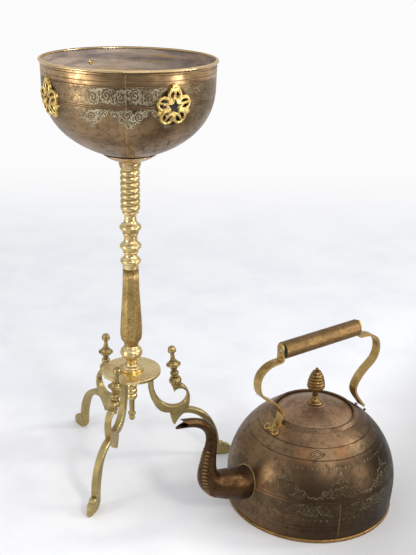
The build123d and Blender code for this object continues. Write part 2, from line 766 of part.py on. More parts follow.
def make_lid_collar():
    outer = ledge_inner - collar_gap
    low = lid_edge_height - lid_edge_depth - collar_depth
    tube = rod(outer, low, lid_top) - rod(outer - collar_wall, low, lid_top)
    return kettle_place() * (tube & lid_cap(-lid_thick))


def make_lid_knob():
    """Beehive knob, ridged like a stack of shrinking rings, on a slim neck and a flared foot."""
    h = knob_height
    r = knob_radius
    stem = knob_stem_radius
    belly = h * 0.5
    edges = [(1.2, h), (3.2, h - 3.6, 0.3), (3.0, h - 5.0)]
    step = (h - 5.0 - belly) / knob_ridges
    for i in range(knob_ridges):
        reach = 5.6 + (r - 6.2) * sin(pi / 2 * (i + 1) / knob_ridges)
        edges.append((reach, h - 5.0 - (i + 0.75) * step, 0.9))
        edges.append((reach - 0.8, h - 5.0 - (i + 1) * step, 0.2))
    edges += [(r, belly - 2.0, 0.6), (r - 1.0, belly - 5.0, 0.3), (stem + 3.0, belly - 10.0, -1.2)]
    edges += [(stem + 2.0, belly - 11.0), (stem, belly - 13.5, -0.5), (stem, 9.0), (stem + 1.4, 7.8)]
    edges += [(stem + 1.4, 6.4, 0.5), (stem + 0.4, 5.2), (knob_foot_radius - 0.6, 1.6, -1.0)]
    edges += [(knob_foot_radius, 1.0, 0.2), (knob_foot_radius, 0)]
    knob = turned(0, lid_top, *edges)
    low = lid_top - lid_boss_rise - lid_thick
    stud = rod(knob_stud_radius, low - lid_nut_height - 1.5, lid_top + 1)
    return kettle_place() * (knob + stud)


def make_lid_nut():
    low = lid_centre + sqrt((lid_curve - lid_thick) ** 2 - lid_nut_radius ** 2) - lid_nut_height
    nut = extrude(Pos(0, 0, low) * RegularPolygon(lid_nut_radius, 6), amount=lid_nut_height)
    return kettle_place() * (nut - rod(knob_stud_radius, low, low + lid_nut_height))


# ---------------------------------------------------------------- spout
def spout_stations():
    """Places along the spout's middle line, in its own upright plane, each with the outer radius."""
    knee = spout_knee_reach
    rise = spout_knee_height
    neck = spout_neck_height
    return [
        (118.0, spout_root_height - 5.0, spout_root_radius + 1.5),
        (143.0, spout_root_height, spout_root_radius),
        (knee - 42.0, spout_root_height + 7.5, spout_belly_radius + 0.9),
        (knee - 18.5, spout_root_height + 16.0, spout_belly_radius - 1.8),
        (knee, rise, spout_knee_radius),
        (knee + 4.5, rise + 22.0, spout_knee_radius - 4.4),
        (knee + 2.5, rise + 44.0, spout_neck_radius + 3.6),
        (knee - 1.0, rise + 66.0, spout_neck_radius + 1.3),
        (knee, neck, spout_neck_radius),
        (knee + 8.0, neck + 16.5, spout_neck_radius - 0.5),
        (knee + 28.0, neck + 31.0, spout_neck_radius - 0.9),
        (spout_mouth_reach, spout_mouth_height, spout_mouth_radius),
        (spout_mouth_reach + 14.0, spout_mouth_height + 2.4, spout_mouth_radius),
    ]


def spout_form(shrink=0.0):
    """The spout as a solid horn, its circles square to the middle line. A shrunk horn runs past both
    ends, so that it can bore out the full one."""
    stations = spout_stations()
    line = Spline(*[(reach, 0, height) for reach, height, radius in stations])
    past = [-shrink] + [0.0] * (len(stations) - 2) + [shrink]
    circles = []
    for (reach, height, radius), extra in zip(stations, past):
        spot = Vector(reach, 0, height)
        heading = line % line.param_at_point(spot)
        square = Plane(origin=spot + heading * extra, x_dir=(0, 1, 0), z_dir=heading)
        circles.append(square * Circle(radius - shrink))
    return loft(circles)


def make_spout():
    """Hollow horn with a beak: a short upper lip, a longer scooped lower lip and a notch between."""
    horn = spout_form() - spout_form(spout_wall) - dome_solid()
    corner = Vector(spout_mouth_reach - beak_notch, spout_mouth_height - 3.0)
    upper = Vector(50, 0).rotate(Axis.Z, upper_lip_rise)
    lower = Vector(50, 0).rotate(Axis.Z, -lower_lip_fall)
    gape = make_face(Polyline(corner, corner + upper, corner + lower, close=True))
    horn -= extrude(Plane.XZ * gape, amount=3 * spout_mouth_radius, both=True)
    return kettle_place() * horn.solids().sort_by(SortBy.VOLUME)[-1]


# ---------------------------------------------------------------- handle
def handle_place():
    """The handle's own upright plane, X from its middle out along the spout's line."""
    pivot = Pos(0, 0, handle_pivot) * Rot(0, handle_tilt, 0) * Pos(0, 0, -handle_pivot)
    return Pos(handle_offset, 0, 0) * pivot


def tab_middle():
    return grip_length / 2 + grip_end_gap + strap_thick / 2


def strap_line():
    """Middle line of the flat strap: tab, shoulder bend, upper swell, waist, then down to the dome."""
    tab = tab_middle()
    leave = grip_height - strap_drop
    swell = strap_swell - strap_thick / 2
    waist = strap_waist
    foot = foot_reach_on_dome
    drop = leave - dome_height_at(foot)
    upright = Line((tab, 0, grip_height + tab_reach), (tab, 0, leave + strap_bend))
    bend = TangentArc((tab, 0, leave + strap_bend), (tab + strap_bend, 0, leave), tangent=(0, 0, -1))
    body = Spline(
        (tab + strap_bend, 0, leave),
        (swell - 22, 0, leave - 0.02 * drop), (swell - 5, 0, leave - 0.107 * drop),
        (swell, 0, leave - 0.25 * drop), (swell - 6, 0, leave - 0.38 * drop),
        (swell - 26, 0, leave - 0.5 * drop), (waist + 8, 0, leave - 0.615 * drop),
        (waist, 0, leave - 0.73 * drop), (waist + 6, 0, leave - 0.87 * drop),
        (foot - 3, 0, leave - 0.975 * drop), (foot + 4, 0, leave - 1.045 * drop),
        tangents=((1, 0, 0), (0.7, 0, -1)),
    )
    return Wire([upright, bend, body])


def foot_plane(side):
    """Plane square to the dome where a strap lands: X across the strap, Y up the dome."""
    spot = handle_place() * Pos(side * foot_reach_on_dome, 0, dome_height_at(foot_reach_on_dome))
    reach = spot.position.X
    height = dome_height_at(abs(reach))
    tilt = atan2(height - dome_z, abs(reach) - dome_x)
    turn = 1 if reach > 0 else -1
    normal = Vector(turn * cos(tilt), 0, sin(tilt))
    return Plane(origin=(reach, 0, height), x_dir=(0, turn, 0), z_dir=normal)


def foot_rivet_planes():
    planes = []
    for side in (1, -1):
        plane = foot_plane(side)
        for across in (-foot_ear_spacing / 2, foot_ear_spacing / 2):
            spot = plane.from_local_coords(Vector(across, 0, 0))
            out = Vector(spot.X, spot.Y, 0)
            turn = out.normalized()
            tilt = atan2(dome_height_at(out.length) - dome_z, out.length - dome_x)
            normal = Vector(turn.X * cos(tilt), turn.Y * cos(tilt), sin(tilt))
            origin = Vector(out.X, out.Y, dome_height_at(out.length))
            planes.append(Plane(origin=origin, x_dir=(-turn.Y, turn.X, 0), z_dir=normal))
    return planes


def make_strap(side):
    """One end of the handle: a flat strap with a rounded tab above and a riveted foot below."""
    line = strap_line()
    section = Plane(origin=line @ 0, x_dir=(0, 1, 0), z_dir=line % 0) * Rectangle(strap_width, strap_thick)
    strap = sweep(section, path=line, transition=Transition.RIGHT)
    tab = tab_middle()
    top = grip_height + tab_reach
    half = strap_width / 2
    corner = Pos(tab, 0, top - half / 2) * Box(3 * strap_thick, 2 * half, half)
    round_top = Pos(tab, 0, top - half) * Rot(0, 90, 0) * Cylinder(half, 3 * strap_thick)
    strap -= corner - round_top
    eye = Cylinder(spigot_radius + spigot_clearance, 3 * strap_thick)
    strap -= Pos(tab, 0, grip_height) * Rot(0, 90, 0) * eye
    if side < 0:
        strap = mirror(strap, Plane.YZ)
    strap = handle_place() * strap
    ears = Circle(foot_lobe_radius)
    ears = Pos(0, foot_ear_radius + 1.0) * ears + Rectangle(foot_ear_spacing, foot_ear_radius)
    for across in (-foot_ear_spacing / 2, foot_ear_spacing / 2):
        ears += Pos(across, 0) * Circle(foot_ear_radius)
    pad = extrude(foot_plane(side) * ears, amount=5 * foot_pad_thick, both=True)
    pad &= dome_solid(foot_pad_thick)
    strap = strap + pad - dome_solid()
    for plane in foot_rivet_planes():
        strap -= plane * Cylinder(foot_rivet_radius + rivet_clearance, 8 * foot_pad_thick)
        head_room = Cylinder(foot_rivet_head + 0.2, 4 * foot_rivet_head)
        strap -= plane * Pos(0, 0, foot_pad_thick + 2 * foot_rivet_head) * head_room
    return kettle_place() * strap.solids().sort_by(SortBy.VOLUME)[-1]


def make_foot_rivets():
    rivets = []
    outside = foot_pad_thick + 0.03
    inside = -kettle_wall - foot_rivet_head ** 2 / dome_curve
    for plane in foot_rivet_planes():
        outer = Pos(0, 0, outside) * domed_head(foot_rivet_head, 1.6)
        inner = Pos(0, 0, inside) * Rot(180, 0, 0) * domed_head(foot_rivet_head, 1.2)
        shank = rod(foot_rivet_radius, inside - 0.2, outside + 0.2)
        rivets.append(kettle_place() * (plane * (shank + outer + inner)))
    return rivets


def along_grip(solid):
    """Stand a piece made about Z along the grip's axis."""
    return kettle_place() * (handle_place() * (Pos(0, 0, grip_height) * (Rot(0, 90, 0) * solid)))


def make_handle_rod():
    inner = tab_middle() - strap_thick / 2
    outer = tab_middle() + strap_thick / 2
    body = rod(handle_rod_radius, -inner, inner) + rod(spigot_radius, -outer - 0.5, outer + 0.5)
    for turn in (0, 180):
        body += Rot(turn, 0, 0) * Pos(0, 0, outer) * domed_head(spigot_head_radius, spigot_head_height)
    return along_grip(body)


def make_grip_tube():
    half = grip_length / 2
    tube = rod(grip_radius, -half, half) - rod(grip_radius - grip_wall, -half, half)
    return along_grip(tube)


def make_grip_bush(side):
    start = grip_length / 2 - grip_bush_inset
    ring = rod(grip_radius - grip_wall, start - grip_bush_length, start)
    ring -= rod(handle_rod_radius + grip_running_clearance, 0, start + 1)
    if side < 0:
        ring = Rot(180, 0, 0) * ring
    return along_grip(ring)


# ---------------------------------------------------------------- the set
def make_parts():
    parts = {
        "base_disc": make_disc(),
        "foot_turning": make_foot_turning(),
        "engraved_shaft": make_shaft(),
        "triple_knop_turning": make_knop_turning(),
        "ring_turning": make_ring_turning(),
        "bowl_saucer": make_saucer(),
        "tie_rod": make_tie_rod(),
        "ringed_nut": make_ring_nut(),
        "pendant_spindle": make_spindle(),
        "bowl": make_bowl(),
        "bowl_washer": make_bowl_washer(),
        "bowl_nut": make_bowl_nut(),
        "rosette_rivets": make_rosette_rivets(),
        "kettle_body": make_kettle_body(),
        "kettle_base": make_kettle_base(),
        "lid_ring": make_lid_ring(),
        "spout": make_spout(),
        "handle_strap_front": make_strap(1),
        "handle_strap_rear": make_strap(-1),
        "handle_rivets": make_foot_rivets(),
        "handle_rod": make_handle_rod(),
        "grip_tube": make_grip_tube(),
        "grip_bush_front": make_grip_bush(1),
        "grip_bush_rear": make_grip_bush(-1),
        "lid": make_lid(),
        "lid_collar": make_lid_collar(),
        "lid_knob": make_lid_knob(),
        "lid_nut": make_lid_nut(),
    }
    for side, azimuth in zip(("front_right", "front_left", "back_left", "back_right"), rosette_azimuths()):
        parts["rosette_" + side] = make_rosette(azimuth)
    for side in leg_azimuths:
        parts["leg_" + side] = make_leg(side)
        parts["leg_finial_" + side] = make_finial(side)
    return parts


def as_one(item):
    return Compound(item) if isinstance(item, list) else item


def centre_shift(parts):
    """Move that brings the set's box over the origin, its lowest point on the floor."""
    boxes = [item.bounding_box() for item in parts.values()]
    box = boxes[0]
    for other in boxes[1:]:
        box = box.add(other)
    return Pos(-(box.min.X + box.max.X) / 2, -(box.min.Y + box.max.Y) / 2, -box.min.Z)


if __name__ == "__main__":
    group = {name: as_one(item) for name, item in make_parts().items()}
    move = centre_shift(group)
    for name, item in group.items():
        export_step(move * item, f"parts/{name}.step")
    print("group centre shift", [round(value, 3) for value in move.position])
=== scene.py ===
import bmesh, bpy, math, random
from mathutils import Vector, Matrix
from mathutils.bvhtree import BVHTree


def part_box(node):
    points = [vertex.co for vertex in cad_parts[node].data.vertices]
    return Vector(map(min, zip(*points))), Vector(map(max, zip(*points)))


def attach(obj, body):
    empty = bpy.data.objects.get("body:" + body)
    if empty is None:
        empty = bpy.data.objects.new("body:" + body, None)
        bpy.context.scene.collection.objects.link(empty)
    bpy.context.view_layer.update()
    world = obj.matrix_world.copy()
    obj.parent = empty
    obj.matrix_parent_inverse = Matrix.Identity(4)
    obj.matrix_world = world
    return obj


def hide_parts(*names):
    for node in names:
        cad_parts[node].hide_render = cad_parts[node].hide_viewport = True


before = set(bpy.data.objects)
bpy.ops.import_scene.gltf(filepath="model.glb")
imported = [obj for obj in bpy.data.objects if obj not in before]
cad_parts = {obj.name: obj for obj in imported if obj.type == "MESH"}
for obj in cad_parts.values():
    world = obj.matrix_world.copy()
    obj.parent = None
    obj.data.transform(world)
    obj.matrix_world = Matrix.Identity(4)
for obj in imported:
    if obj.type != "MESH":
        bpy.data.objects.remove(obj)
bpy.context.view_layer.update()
scene = bpy.context.scene
view = scene.view_settings
view.view_transform = "Standard"
print("frame loaded")


def middle(node):
    low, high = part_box(node)
    return [(low[i] + high[i]) / 2 for i in range(3)]


def bottom(node):
    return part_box(node)[0][2]


def top(node):
    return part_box(node)[1][2]


# places, read from the solids
standX, standY = middle("tie_rod")[:2]
kettleX, kettleY = middle("kettle_body")[:2]
bowlSeat = bottom("bowl")
shaftBase = bottom("engraved_shaft")
kettleTurn = math.radians(213.2)      # azimuth of the spout
mm = 0.001


# outlines of bowl and dome in metres, for the work laid on them
bowlShape = {
    "radius": 0.1433, "floorCurve": 0.1644, "sideCurve": 0.105, "pad": 0.018,
    "flare": 0.001, "wallHeight": 0.044, "wall": 0.0018,
}
domeShape = {
    "belly": (0.1497, 0.040), "shoulder": (0.1334, 0.115), "crown": (0.0655, 0.176),
    "foot": 0.146, "bulge": 0.0007,
}
# the four pierced plates on the bowl: height in metres, turns in degrees
plates = {"height": 0.708, "turns": (-56.5, -146.5, 123.5, 33.5)}


def bowlRadius(z):
    s = bowlShape
    floorCentre = bowlSeat + math.sqrt(s["floorCurve"] ** 2 - s["pad"] ** 2)
    sideCentre = s["radius"] - s["sideCurve"]
    shoulder = floorCentre - math.sqrt((s["floorCurve"] - s["sideCurve"]) ** 2 - sideCentre ** 2)
    joint = floorCentre - s["floorCurve"] * (floorCentre - shoulder) / (s["floorCurve"] - s["sideCurve"])
    if z >= shoulder:
        return s["radius"] + s["flare"] * (z - shoulder) / s["wallHeight"]
    if z >= joint:
        return sideCentre + math.sqrt(s["sideCurve"] ** 2 - (shoulder - z) ** 2)
    return math.sqrt(max(0.0, s["floorCurve"] ** 2 - (floorCentre - z) ** 2))


def circleThrough(a, b, c):
    d = 2 * (a[0] * (b[1] - c[1]) + b[0] * (c[1] - a[1]) + c[0] * (a[1] - b[1]))
    sa, sb, sc = (p[0] ** 2 + p[1] ** 2 for p in (a, b, c))
    x = (sa * (b[1] - c[1]) + sb * (c[1] - a[1]) + sc * (a[1] - b[1])) / d
    y = (sa * (c[0] - b[0]) + sb * (a[0] - c[0]) + sc * (b[0] - a[0])) / d
    return x, y, math.hypot(a[0] - x, a[1] - y)


def domeRadius(z):
    s = domeShape
    if z < s["belly"][1]:
        t = z / s["belly"][1]
        return s["foot"] + (s["belly"][0] - s["foot"]) * t + s["bulge"] * 4 * t * (1 - t)
    x, y, r = circleThrough(s["belly"], s["shoulder"], s["crown"])
    return x + math.sqrt(max(0.0, r * r - (z - y) ** 2))


def newGroup(name, inputs, outputs):
    # an empty node group with its two ends
    tree = bpy.data.node_groups.new(name, "ShaderNodeTree")
    for label, kind, value in inputs:
        socket = tree.interface.new_socket(name=label, in_out="INPUT", socket_type="NodeSocket" + kind)
        socket.default_value = value
    for label, kind in outputs:
        tree.interface.new_socket(name=label, in_out="OUTPUT", socket_type="NodeSocket" + kind)
    return tree, tree.nodes.new("NodeGroupInput"), tree.nodes.new("NodeGroupOutput")


class Wiring:
    # short ways of adding and joining nodes in one tree
    def __init__(self, tree):
        self.tree = tree

    def node(self, kind, **settings):
        made = self.tree.nodes.new("ShaderNode" + kind)
        for key, value in settings.items():
            setattr(made, key, value)
        return made

    def put(self, socket, value):
        if isinstance(value, bpy.types.NodeSocket):
            self.tree.links.new(value, socket)
        else:
            socket.default_value = value

    def math(self, operation, a, b=0.0, c=None, clamp=False):
        made = self.node("Math", operation=operation, use_clamp=clamp)
        self.put(made.inputs[0], a)
        self.put(made.inputs[1], b)
        if c is not None:
            self.put(made.inputs[2], c)
        return made.outputs[0]

    def times(self, a, b):
        return self.math("MULTIPLY", a, b)

    def plus(self, a, b):
        return self.math("ADD", a, b)

    def less(self, a, b):
        return self.math("SUBTRACT", a, b)

    def most(self, a, b):
        return self.math("MAXIMUM", a, b)

    def apart(self, a, b):
        return self.math("ABSOLUTE", self.less(a, b))

    def length(self, a, b):
        return self.math("SQRT", self.plus(self.times(a, a), self.times(b, b)))

    def step(self, value, low, high, fromValue=0.0, toValue=1.0):
        made = self.node("MapRange", interpolation_type="SMOOTHSTEP")
        for slot, item in zip(range(5), (value, low, high, fromValue, toValue)):
            self.put(made.inputs[slot], item)
        return made.outputs[0]

    def mix(self, factor, a, b):
        made = self.node("Mix", data_type="RGBA")
        self.put(made.inputs[0], factor)
        self.put(made.inputs[6], a)
        self.put(made.inputs[7], b)
        return made.outputs[2]

    def noise(self, vector, scale, detail, rough):
        made = self.node("TexNoise")
        self.put(made.inputs["Vector"], vector)
        self.put(made.inputs["Scale"], scale)
        self.put(made.inputs["Detail"], detail)
        self.put(made.inputs["Roughness"], rough)
        return made.outputs["Fac"]

    def group(self, tree, **values):
        made = self.node("Group", node_tree=tree)
        for key, value in values.items():
            self.put(made.inputs[key], value)
        return made


def rgb(r, g, b):
    # screen values 0-255 to linear light
    def linear(v):
        v /= 255
        return v / 12.92 if v <= 0.04045 else ((v + 0.055) / 1.055) ** 2.4
    return (linear(r), linear(g), linear(b), 1.0)


def buildTurnedPlace():
    # where a point lies round an upright axis: turn in radians, height, and how far it faces outward
    tree, enter, leave = newGroup("turnedPlace", [("Axis X", "Float", 0.0), ("Axis Y", "Float", 0.0)],
                                  [("Turn", "Float"), ("Height", "Float"), ("Outward", "Float")])
    w = Wiring(tree)
    coords = w.node("TexCoord")
    split = w.node("SeparateXYZ")
    w.put(split.inputs[0], coords.outputs["Object"])
    x = w.less(split.outputs[0], enter.outputs["Axis X"])
    y = w.less(split.outputs[1], enter.outputs["Axis Y"])
    w.put(leave.inputs["Turn"], w.math("ARCTAN2", y, x))
    distance = w.length(x, y)
    w.put(leave.inputs["Height"], split.outputs[2])
    facing = w.node("SeparateXYZ")
    w.put(facing.inputs[0], coords.outputs["Normal"])
    outward = w.plus(w.times(facing.outputs[0], x), w.times(facing.outputs[1], y))
    w.put(leave.inputs["Outward"], w.math("DIVIDE", outward, distance))
    return tree


def buildWornBrass():
    # bright metal, browned in patches and in the hollows, bright on its edges, with fine pits
    tree, enter, leave = newGroup(
        "wornBrass",
        [("Bright", "Color", (0.6, 0.45, 0.2, 1)), ("Dull", "Color", (0.3, 0.2, 0.1, 1)),
         ("Stain", "Color", (0.1, 0.07, 0.04, 1)), ("Patch", "Float", 24.0), ("Stained", "Float", 0.4),
         ("Polish", "Float", 0.25)],
        [("Color", "Color"), ("Roughness", "Float"), ("Height", "Float")])
    w = Wiring(tree)
    spot = w.node("TexCoord").outputs["Object"]
    broad = w.noise(spot, enter.outputs["Patch"], 5.0, 0.6)
    fine = w.noise(spot, w.times(enter.outputs["Patch"], 9.0), 6.0, 0.65)
    pits = w.noise(spot, 900.0, 2.0, 0.5)
    hollow = w.step(w.node("NewGeometry").outputs["Pointiness"], 0.50, 0.44)
    edge = w.step(w.node("NewGeometry").outputs["Pointiness"], 0.51, 0.56)
    dull = w.step(w.plus(w.times(broad, 0.65), w.times(fine, 0.35)), 0.40, 0.66)
    color = w.mix(dull, enter.outputs["Bright"], enter.outputs["Dull"])
    stained = w.times(w.step(fine, 0.52, 0.72), enter.outputs["Stained"])
    stained = w.most(stained, w.times(hollow, 0.85))
    color = w.mix(stained, color, enter.outputs["Stain"])
    color = w.mix(w.times(edge, 0.5), color, enter.outputs["Bright"])
    w.put(leave.inputs["Color"], color)
    rough = w.math("MULTIPLY_ADD", dull, 0.16, enter.outputs["Polish"])
    rough = w.math("MULTIPLY_ADD", stained, 0.25, rough)
    w.put(leave.inputs["Roughness"], rough)
    bumps = w.plus(w.times(fine, 0.6), w.times(pits, 0.25))
    w.put(leave.inputs["Height"], bumps)
    return tree


def buildHeightBand():
    # 1 between two heights, with soft ends
    tree, enter, leave = newGroup(
        "heightBand",
        [("Height", "Float", 0.0), ("Low", "Float", 0.0), ("High", "Float", 1.0), ("Soft", "Float", 0.001)],
        [("Mask", "Float")])
    w = Wiring(tree)
    h, soft = enter.outputs["Height"], enter.outputs["Soft"]
    up = w.step(h, enter.outputs["Low"], w.plus(enter.outputs["Low"], soft))
    down = w.step(h, w.less(enter.outputs["High"], soft), enter.outputs["High"], 1.0, 0.0)
    w.put(leave.inputs["Mask"], w.times(up, down))
    return tree


def buildChasedLines():
    # winding chased lines: cell borders of a swirled pattern laid out flat, across and up
    tree, enter, leave = newGroup(
        "chasedLines",
        [("Across", "Float", 0.0), ("Up", "Float", 0.0), ("Size", "Float", 140.0), ("Line", "Float", 0.06)],
        [("Mask", "Float"), ("Cell", "Float")])
    w = Wiring(tree)
    join = w.node("CombineXYZ")
    w.put(join.inputs[0], enter.outputs["Across"])
    w.put(join.inputs[1], enter.outputs["Up"])
    swirl = w.node("TexNoise")
    w.put(swirl.inputs["Vector"], join.outputs[0])
    w.put(swirl.inputs["Scale"], w.times(enter.outputs["Size"], 0.6))
    w.put(swirl.inputs["Detail"], 1.0)
    bend = w.node("VectorMath", operation="MULTIPLY_ADD")
    w.put(bend.inputs[0], swirl.outputs["Color"])
    bend.inputs[1].default_value = (0.006, 0.006, 0.0)
    w.put(bend.inputs[2], join.outputs[0])
    cells = w.node("TexVoronoi", feature="DISTANCE_TO_EDGE")
    w.put(cells.inputs["Vector"], bend.outputs[0])
    w.put(cells.inputs["Scale"], enter.outputs["Size"])
    w.put(leave.inputs["Mask"], w.step(cells.outputs["Distance"], enter.outputs["Line"], 0.0))
    rings = w.math("FRACT", w.times(cells.outputs["Distance"], 3.2))
    w.put(leave.inputs["Cell"], w.step(w.apart(rings, 0.5), 0.12, 0.0))
    return tree


turnedPlace = buildTurnedPlace()
wornBrass = buildWornBrass()
heightBand = buildHeightBand()
chasedLines = buildChasedLines()


def newMaterial(name):
    material = bpy.data.materials.new(name)
    material.use_nodes = True
    w = Wiring(material.node_tree)
    shader = material.node_tree.nodes["Principled BSDF"]
    shader.inputs["Metallic"].default_value = 1.0
    return material, w, shader


def addBump(w, shader, height, strength, distance):
    bump = w.node("Bump")
    bump.inputs["Strength"].default_value = strength
    bump.inputs["Distance"].default_value = distance
    w.put(bump.inputs["Height"], height)
    w.put(shader.inputs["Normal"], bump.outputs[0])


def wornMetal(w, look):
    return w.group(wornBrass, Bright=look["bright"], Dull=look["dull"], Stain=look["stain"],
                   Patch=look["patch"], Stained=look["stained"], Polish=look["polish"])


castFinishes = {
    "standBrass": {"bright": rgb(222, 200, 146), "dull": rgb(184, 158, 107), "stain": rgb(92, 70, 38),
                   "patch": 22.0, "stained": 0.4, "polish": 0.30},
    "finialBrass": {"bright": rgb(184, 162, 110), "dull": rgb(132, 110, 68), "stain": rgb(60, 44, 24),
                    "patch": 36.0, "stained": 0.6, "polish": 0.32},
    "legBrass": {"bright": rgb(176, 157, 106), "dull": rgb(130, 112, 72), "stain": rgb(62, 50, 30),
                 "patch": 28.0, "stained": 0.55, "polish": 0.32},
    "rosetteBrass": {"bright": rgb(232, 203, 132), "dull": rgb(196, 162, 94), "stain": rgb(96, 68, 30),
                     "patch": 60.0, "stained": 0.3, "polish": 0.26},
    "strapBrass": {"bright": rgb(192, 163, 103), "dull": rgb(140, 113, 66), "stain": rgb(52, 37, 20),
                   "patch": 34.0, "stained": 0.5, "polish": 0.30},
    "knobBrass": {"bright": rgb(148, 118, 72), "dull": rgb(104, 78, 46), "stain": rgb(42, 30, 18),
                  "patch": 60.0, "stained": 0.5, "polish": 0.32},
    "nutBrass": {"bright": rgb(120, 98, 60), "dull": rgb(78, 60, 38), "stain": rgb(34, 26, 18),
                 "patch": 50.0, "stained": 0.6, "polish": 0.36},
    "rivetCopper": {"bright": rgb(132, 96, 66), "dull": rgb(92, 66, 46), "stain": rgb(40, 28, 20),
                    "patch": 60.0, "stained": 0.6, "polish": 0.38},
    "rodSteel": {"bright": rgb(150, 146, 138), "dull": rgb(112, 106, 98), "stain": rgb(60, 52, 44),
                 "patch": 40.0, "stained": 0.4, "polish": 0.38},
    "featherBrass": {"bright": rgb(142, 114, 74), "dull": rgb(94, 72, 46), "stain": rgb(30, 21, 13),
                     "patch": 60.0, "stained": 0.5, "polish": 0.30},
    "solder": {"bright": rgb(176, 152, 110), "dull": rgb(84, 66, 44), "stain": rgb(34, 25, 16),
               "patch": 150.0, "stained": 0.9, "polish": 0.44},
    # painted shade: the lid ring is painted darker than the lid, standing for the shade of the thin gap
    # beside it
    "shadedRingBrass": {"bright": rgb(120, 96, 72), "dull": rgb(88, 70, 53), "stain": rgb(36, 27, 19),
                  "patch": 40.0, "stained": 0.5, "polish": 0.46},
    "plugGrey": {"bright": rgb(170, 172, 164), "dull": rgb(134, 134, 124), "stain": rgb(84, 80, 70),
                 "patch": 60.0, "stained": 0.5, "polish": 0.45},
}


def makeCastFinish(name, look):
    material, w, shader = newMaterial(name)
    worn = wornMetal(w, look)
    w.put(shader.inputs["Base Color"], worn.outputs["Color"])
    w.put(shader.inputs["Roughness"], worn.outputs["Roughness"])
    addBump(w, shader, worn.outputs["Height"], 0.22, 0.0004)
    return material


finish = {name: makeCastFinish(name, look) for name, look in castFinishes.items()}
print("cast finishes made")


def buildScrollwork():
    # winding spirals on a wave, turned up and down by turns between two heights
    tree, enter, leave = newGroup(
        "scrollwork",
        [("Turn", "Float", 0.0), ("Height", "Float", 0.0), ("Low", "Float", 0.0), ("High", "Float", 1.0),
         ("Count", "Float", 24.0), ("Aspect", "Float", 1.0), ("Line", "Float", 0.16)],
        [("Mask", "Float"), ("Inside", "Float")])
    w = Wiring(tree)
    i = enter.outputs
    x = w.times(i["Turn"], w.math("DIVIDE", i["Count"], 2 * math.pi))
    u = w.less(w.math("FRACT", x), 0.5)
    flip = w.math("GREATER_THAN", w.math("FLOORED_MODULO", x, 2.0), 1.0)
    sign = w.math("MULTIPLY_ADD", flip, -2.0, 1.0)
    v = w.less(w.math("DIVIDE", w.less(i["Height"], i["Low"]), w.less(i["High"], i["Low"])), 0.5)
    across = w.times(u, i["Aspect"])
    up = w.less(w.times(v, sign), 0.07)
    radius = w.length(across, up)
    angle = w.math("ARCTAN2", up, across)
    arm = w.math("FRACT", w.plus(w.times(radius, 5.0), w.math("DIVIDE", angle, 2 * math.pi)))
    spiral = w.step(w.apart(arm, 0.5), i["Line"], w.times(i["Line"], 0.45))
    spiral = w.times(spiral, w.step(radius, 0.38, 0.35))
    leafy = w.math("MULTIPLY_ADD", w.math("COSINE", w.times(angle, 9.0)), 0.035, 0.42)
    leaf = w.step(w.apart(radius, leafy), w.times(i["Line"], 0.30), w.times(i["Line"], 0.12))
    wave = w.times(w.math("COSINE", w.times(x, math.pi)), 0.40)
    vine = w.step(w.apart(v, wave), w.times(i["Line"], 0.5), w.times(i["Line"], 0.2))
    vine = w.times(vine, w.step(radius, 0.42, 0.46))
    inside = w.step(w.math("ABSOLUTE", v), 0.5, 0.47)
    mask = w.most(w.most(spiral, leaf), vine)
    w.put(leave.inputs["Mask"], w.times(mask, inside))
    w.put(leave.inputs["Inside"], inside)
    return tree


def buildPendants():
    # a row of lobed, pointed hangings under a line
    tree, enter, leave = newGroup(
        "pendants",
        [("Turn", "Float", 0.0), ("Height", "Float", 0.0), ("Top", "Float", 1.0), ("Depth", "Float", 0.03),
         ("Count", "Float", 8.0), ("Phase", "Float", 0.0), ("Sharp", "Float", 0.6),
         ("Line", "Float", 0.0009)],
        [("Edge", "Float"), ("Inside", "Float")])
    w = Wiring(tree)
    i = enter.outputs
    x = w.times(w.less(i["Turn"], i["Phase"]), w.math("DIVIDE", i["Count"], 2 * math.pi))
    u = w.apart(w.math("FRACT", w.plus(x, 0.5)), 0.5)
    near = w.math("SUBTRACT", 1.0, w.times(u, 2.0), clamp=True)
    hang = w.math("POWER", near, i["Sharp"])
    lobes = w.math("ABSOLUTE", w.math("SINE", w.times(near, 3 * math.pi)))
    hang = w.plus(w.times(hang, 0.86), w.times(lobes, 0.14))
    edge = w.less(i["Height"], w.less(i["Top"], w.times(i["Depth"], hang)))
    w.put(leave.inputs["Edge"], w.step(w.math("ABSOLUTE", edge), i["Line"], w.times(i["Line"], 0.4)))
    below = w.step(edge, 0.0, 0.0005)
    above = w.step(w.less(i["Top"], i["Height"]), -0.0003, 0.0003)
    w.put(leave.inputs["Inside"], w.times(below, above))
    return tree


def buildDotRow():
    tree, enter, leave = newGroup(
        "dotRow",
        [("Turn", "Float", 0.0), ("Height", "Float", 0.0), ("At", "Float", 0.0), ("Count", "Float", 90.0),
         ("Spacing", "Float", 0.009), ("Size", "Float", 0.002)],
        [("Mask", "Float")])
    w = Wiring(tree)
    i = enter.outputs
    x = w.times(i["Turn"], w.math("DIVIDE", i["Count"], 2 * math.pi))
    across = w.times(w.less(w.math("FRACT", x), 0.5), i["Spacing"])
    up = w.less(i["Height"], i["At"])
    far = w.length(across, up)
    w.put(leave.inputs["Mask"], w.step(far, i["Size"], w.times(i["Size"], 0.5)))
    return tree


def buildTurnedLine():
    # one fine line cut round the work
    tree, enter, leave = newGroup(
        "turnedLine",
        [("Height", "Float", 0.0), ("At", "Float", 0.0), ("Width", "Float", 0.0008)],
        [("Mask", "Float")])
    w = Wiring(tree)
    away = w.apart(enter.outputs["Height"], enter.outputs["At"])
    w.put(leave.inputs["Mask"], w.step(away, enter.outputs["Width"], w.times(enter.outputs["Width"], 0.3)))
    return tree


scrollwork = buildScrollwork()
pendants = buildPendants()
dotRow = buildDotRow()
turnedLine = buildTurnedLine()


def allOf(w, masks):
    total = masks[0]
    for mask in masks[1:]:
        total = w.most(total, mask)
    return total


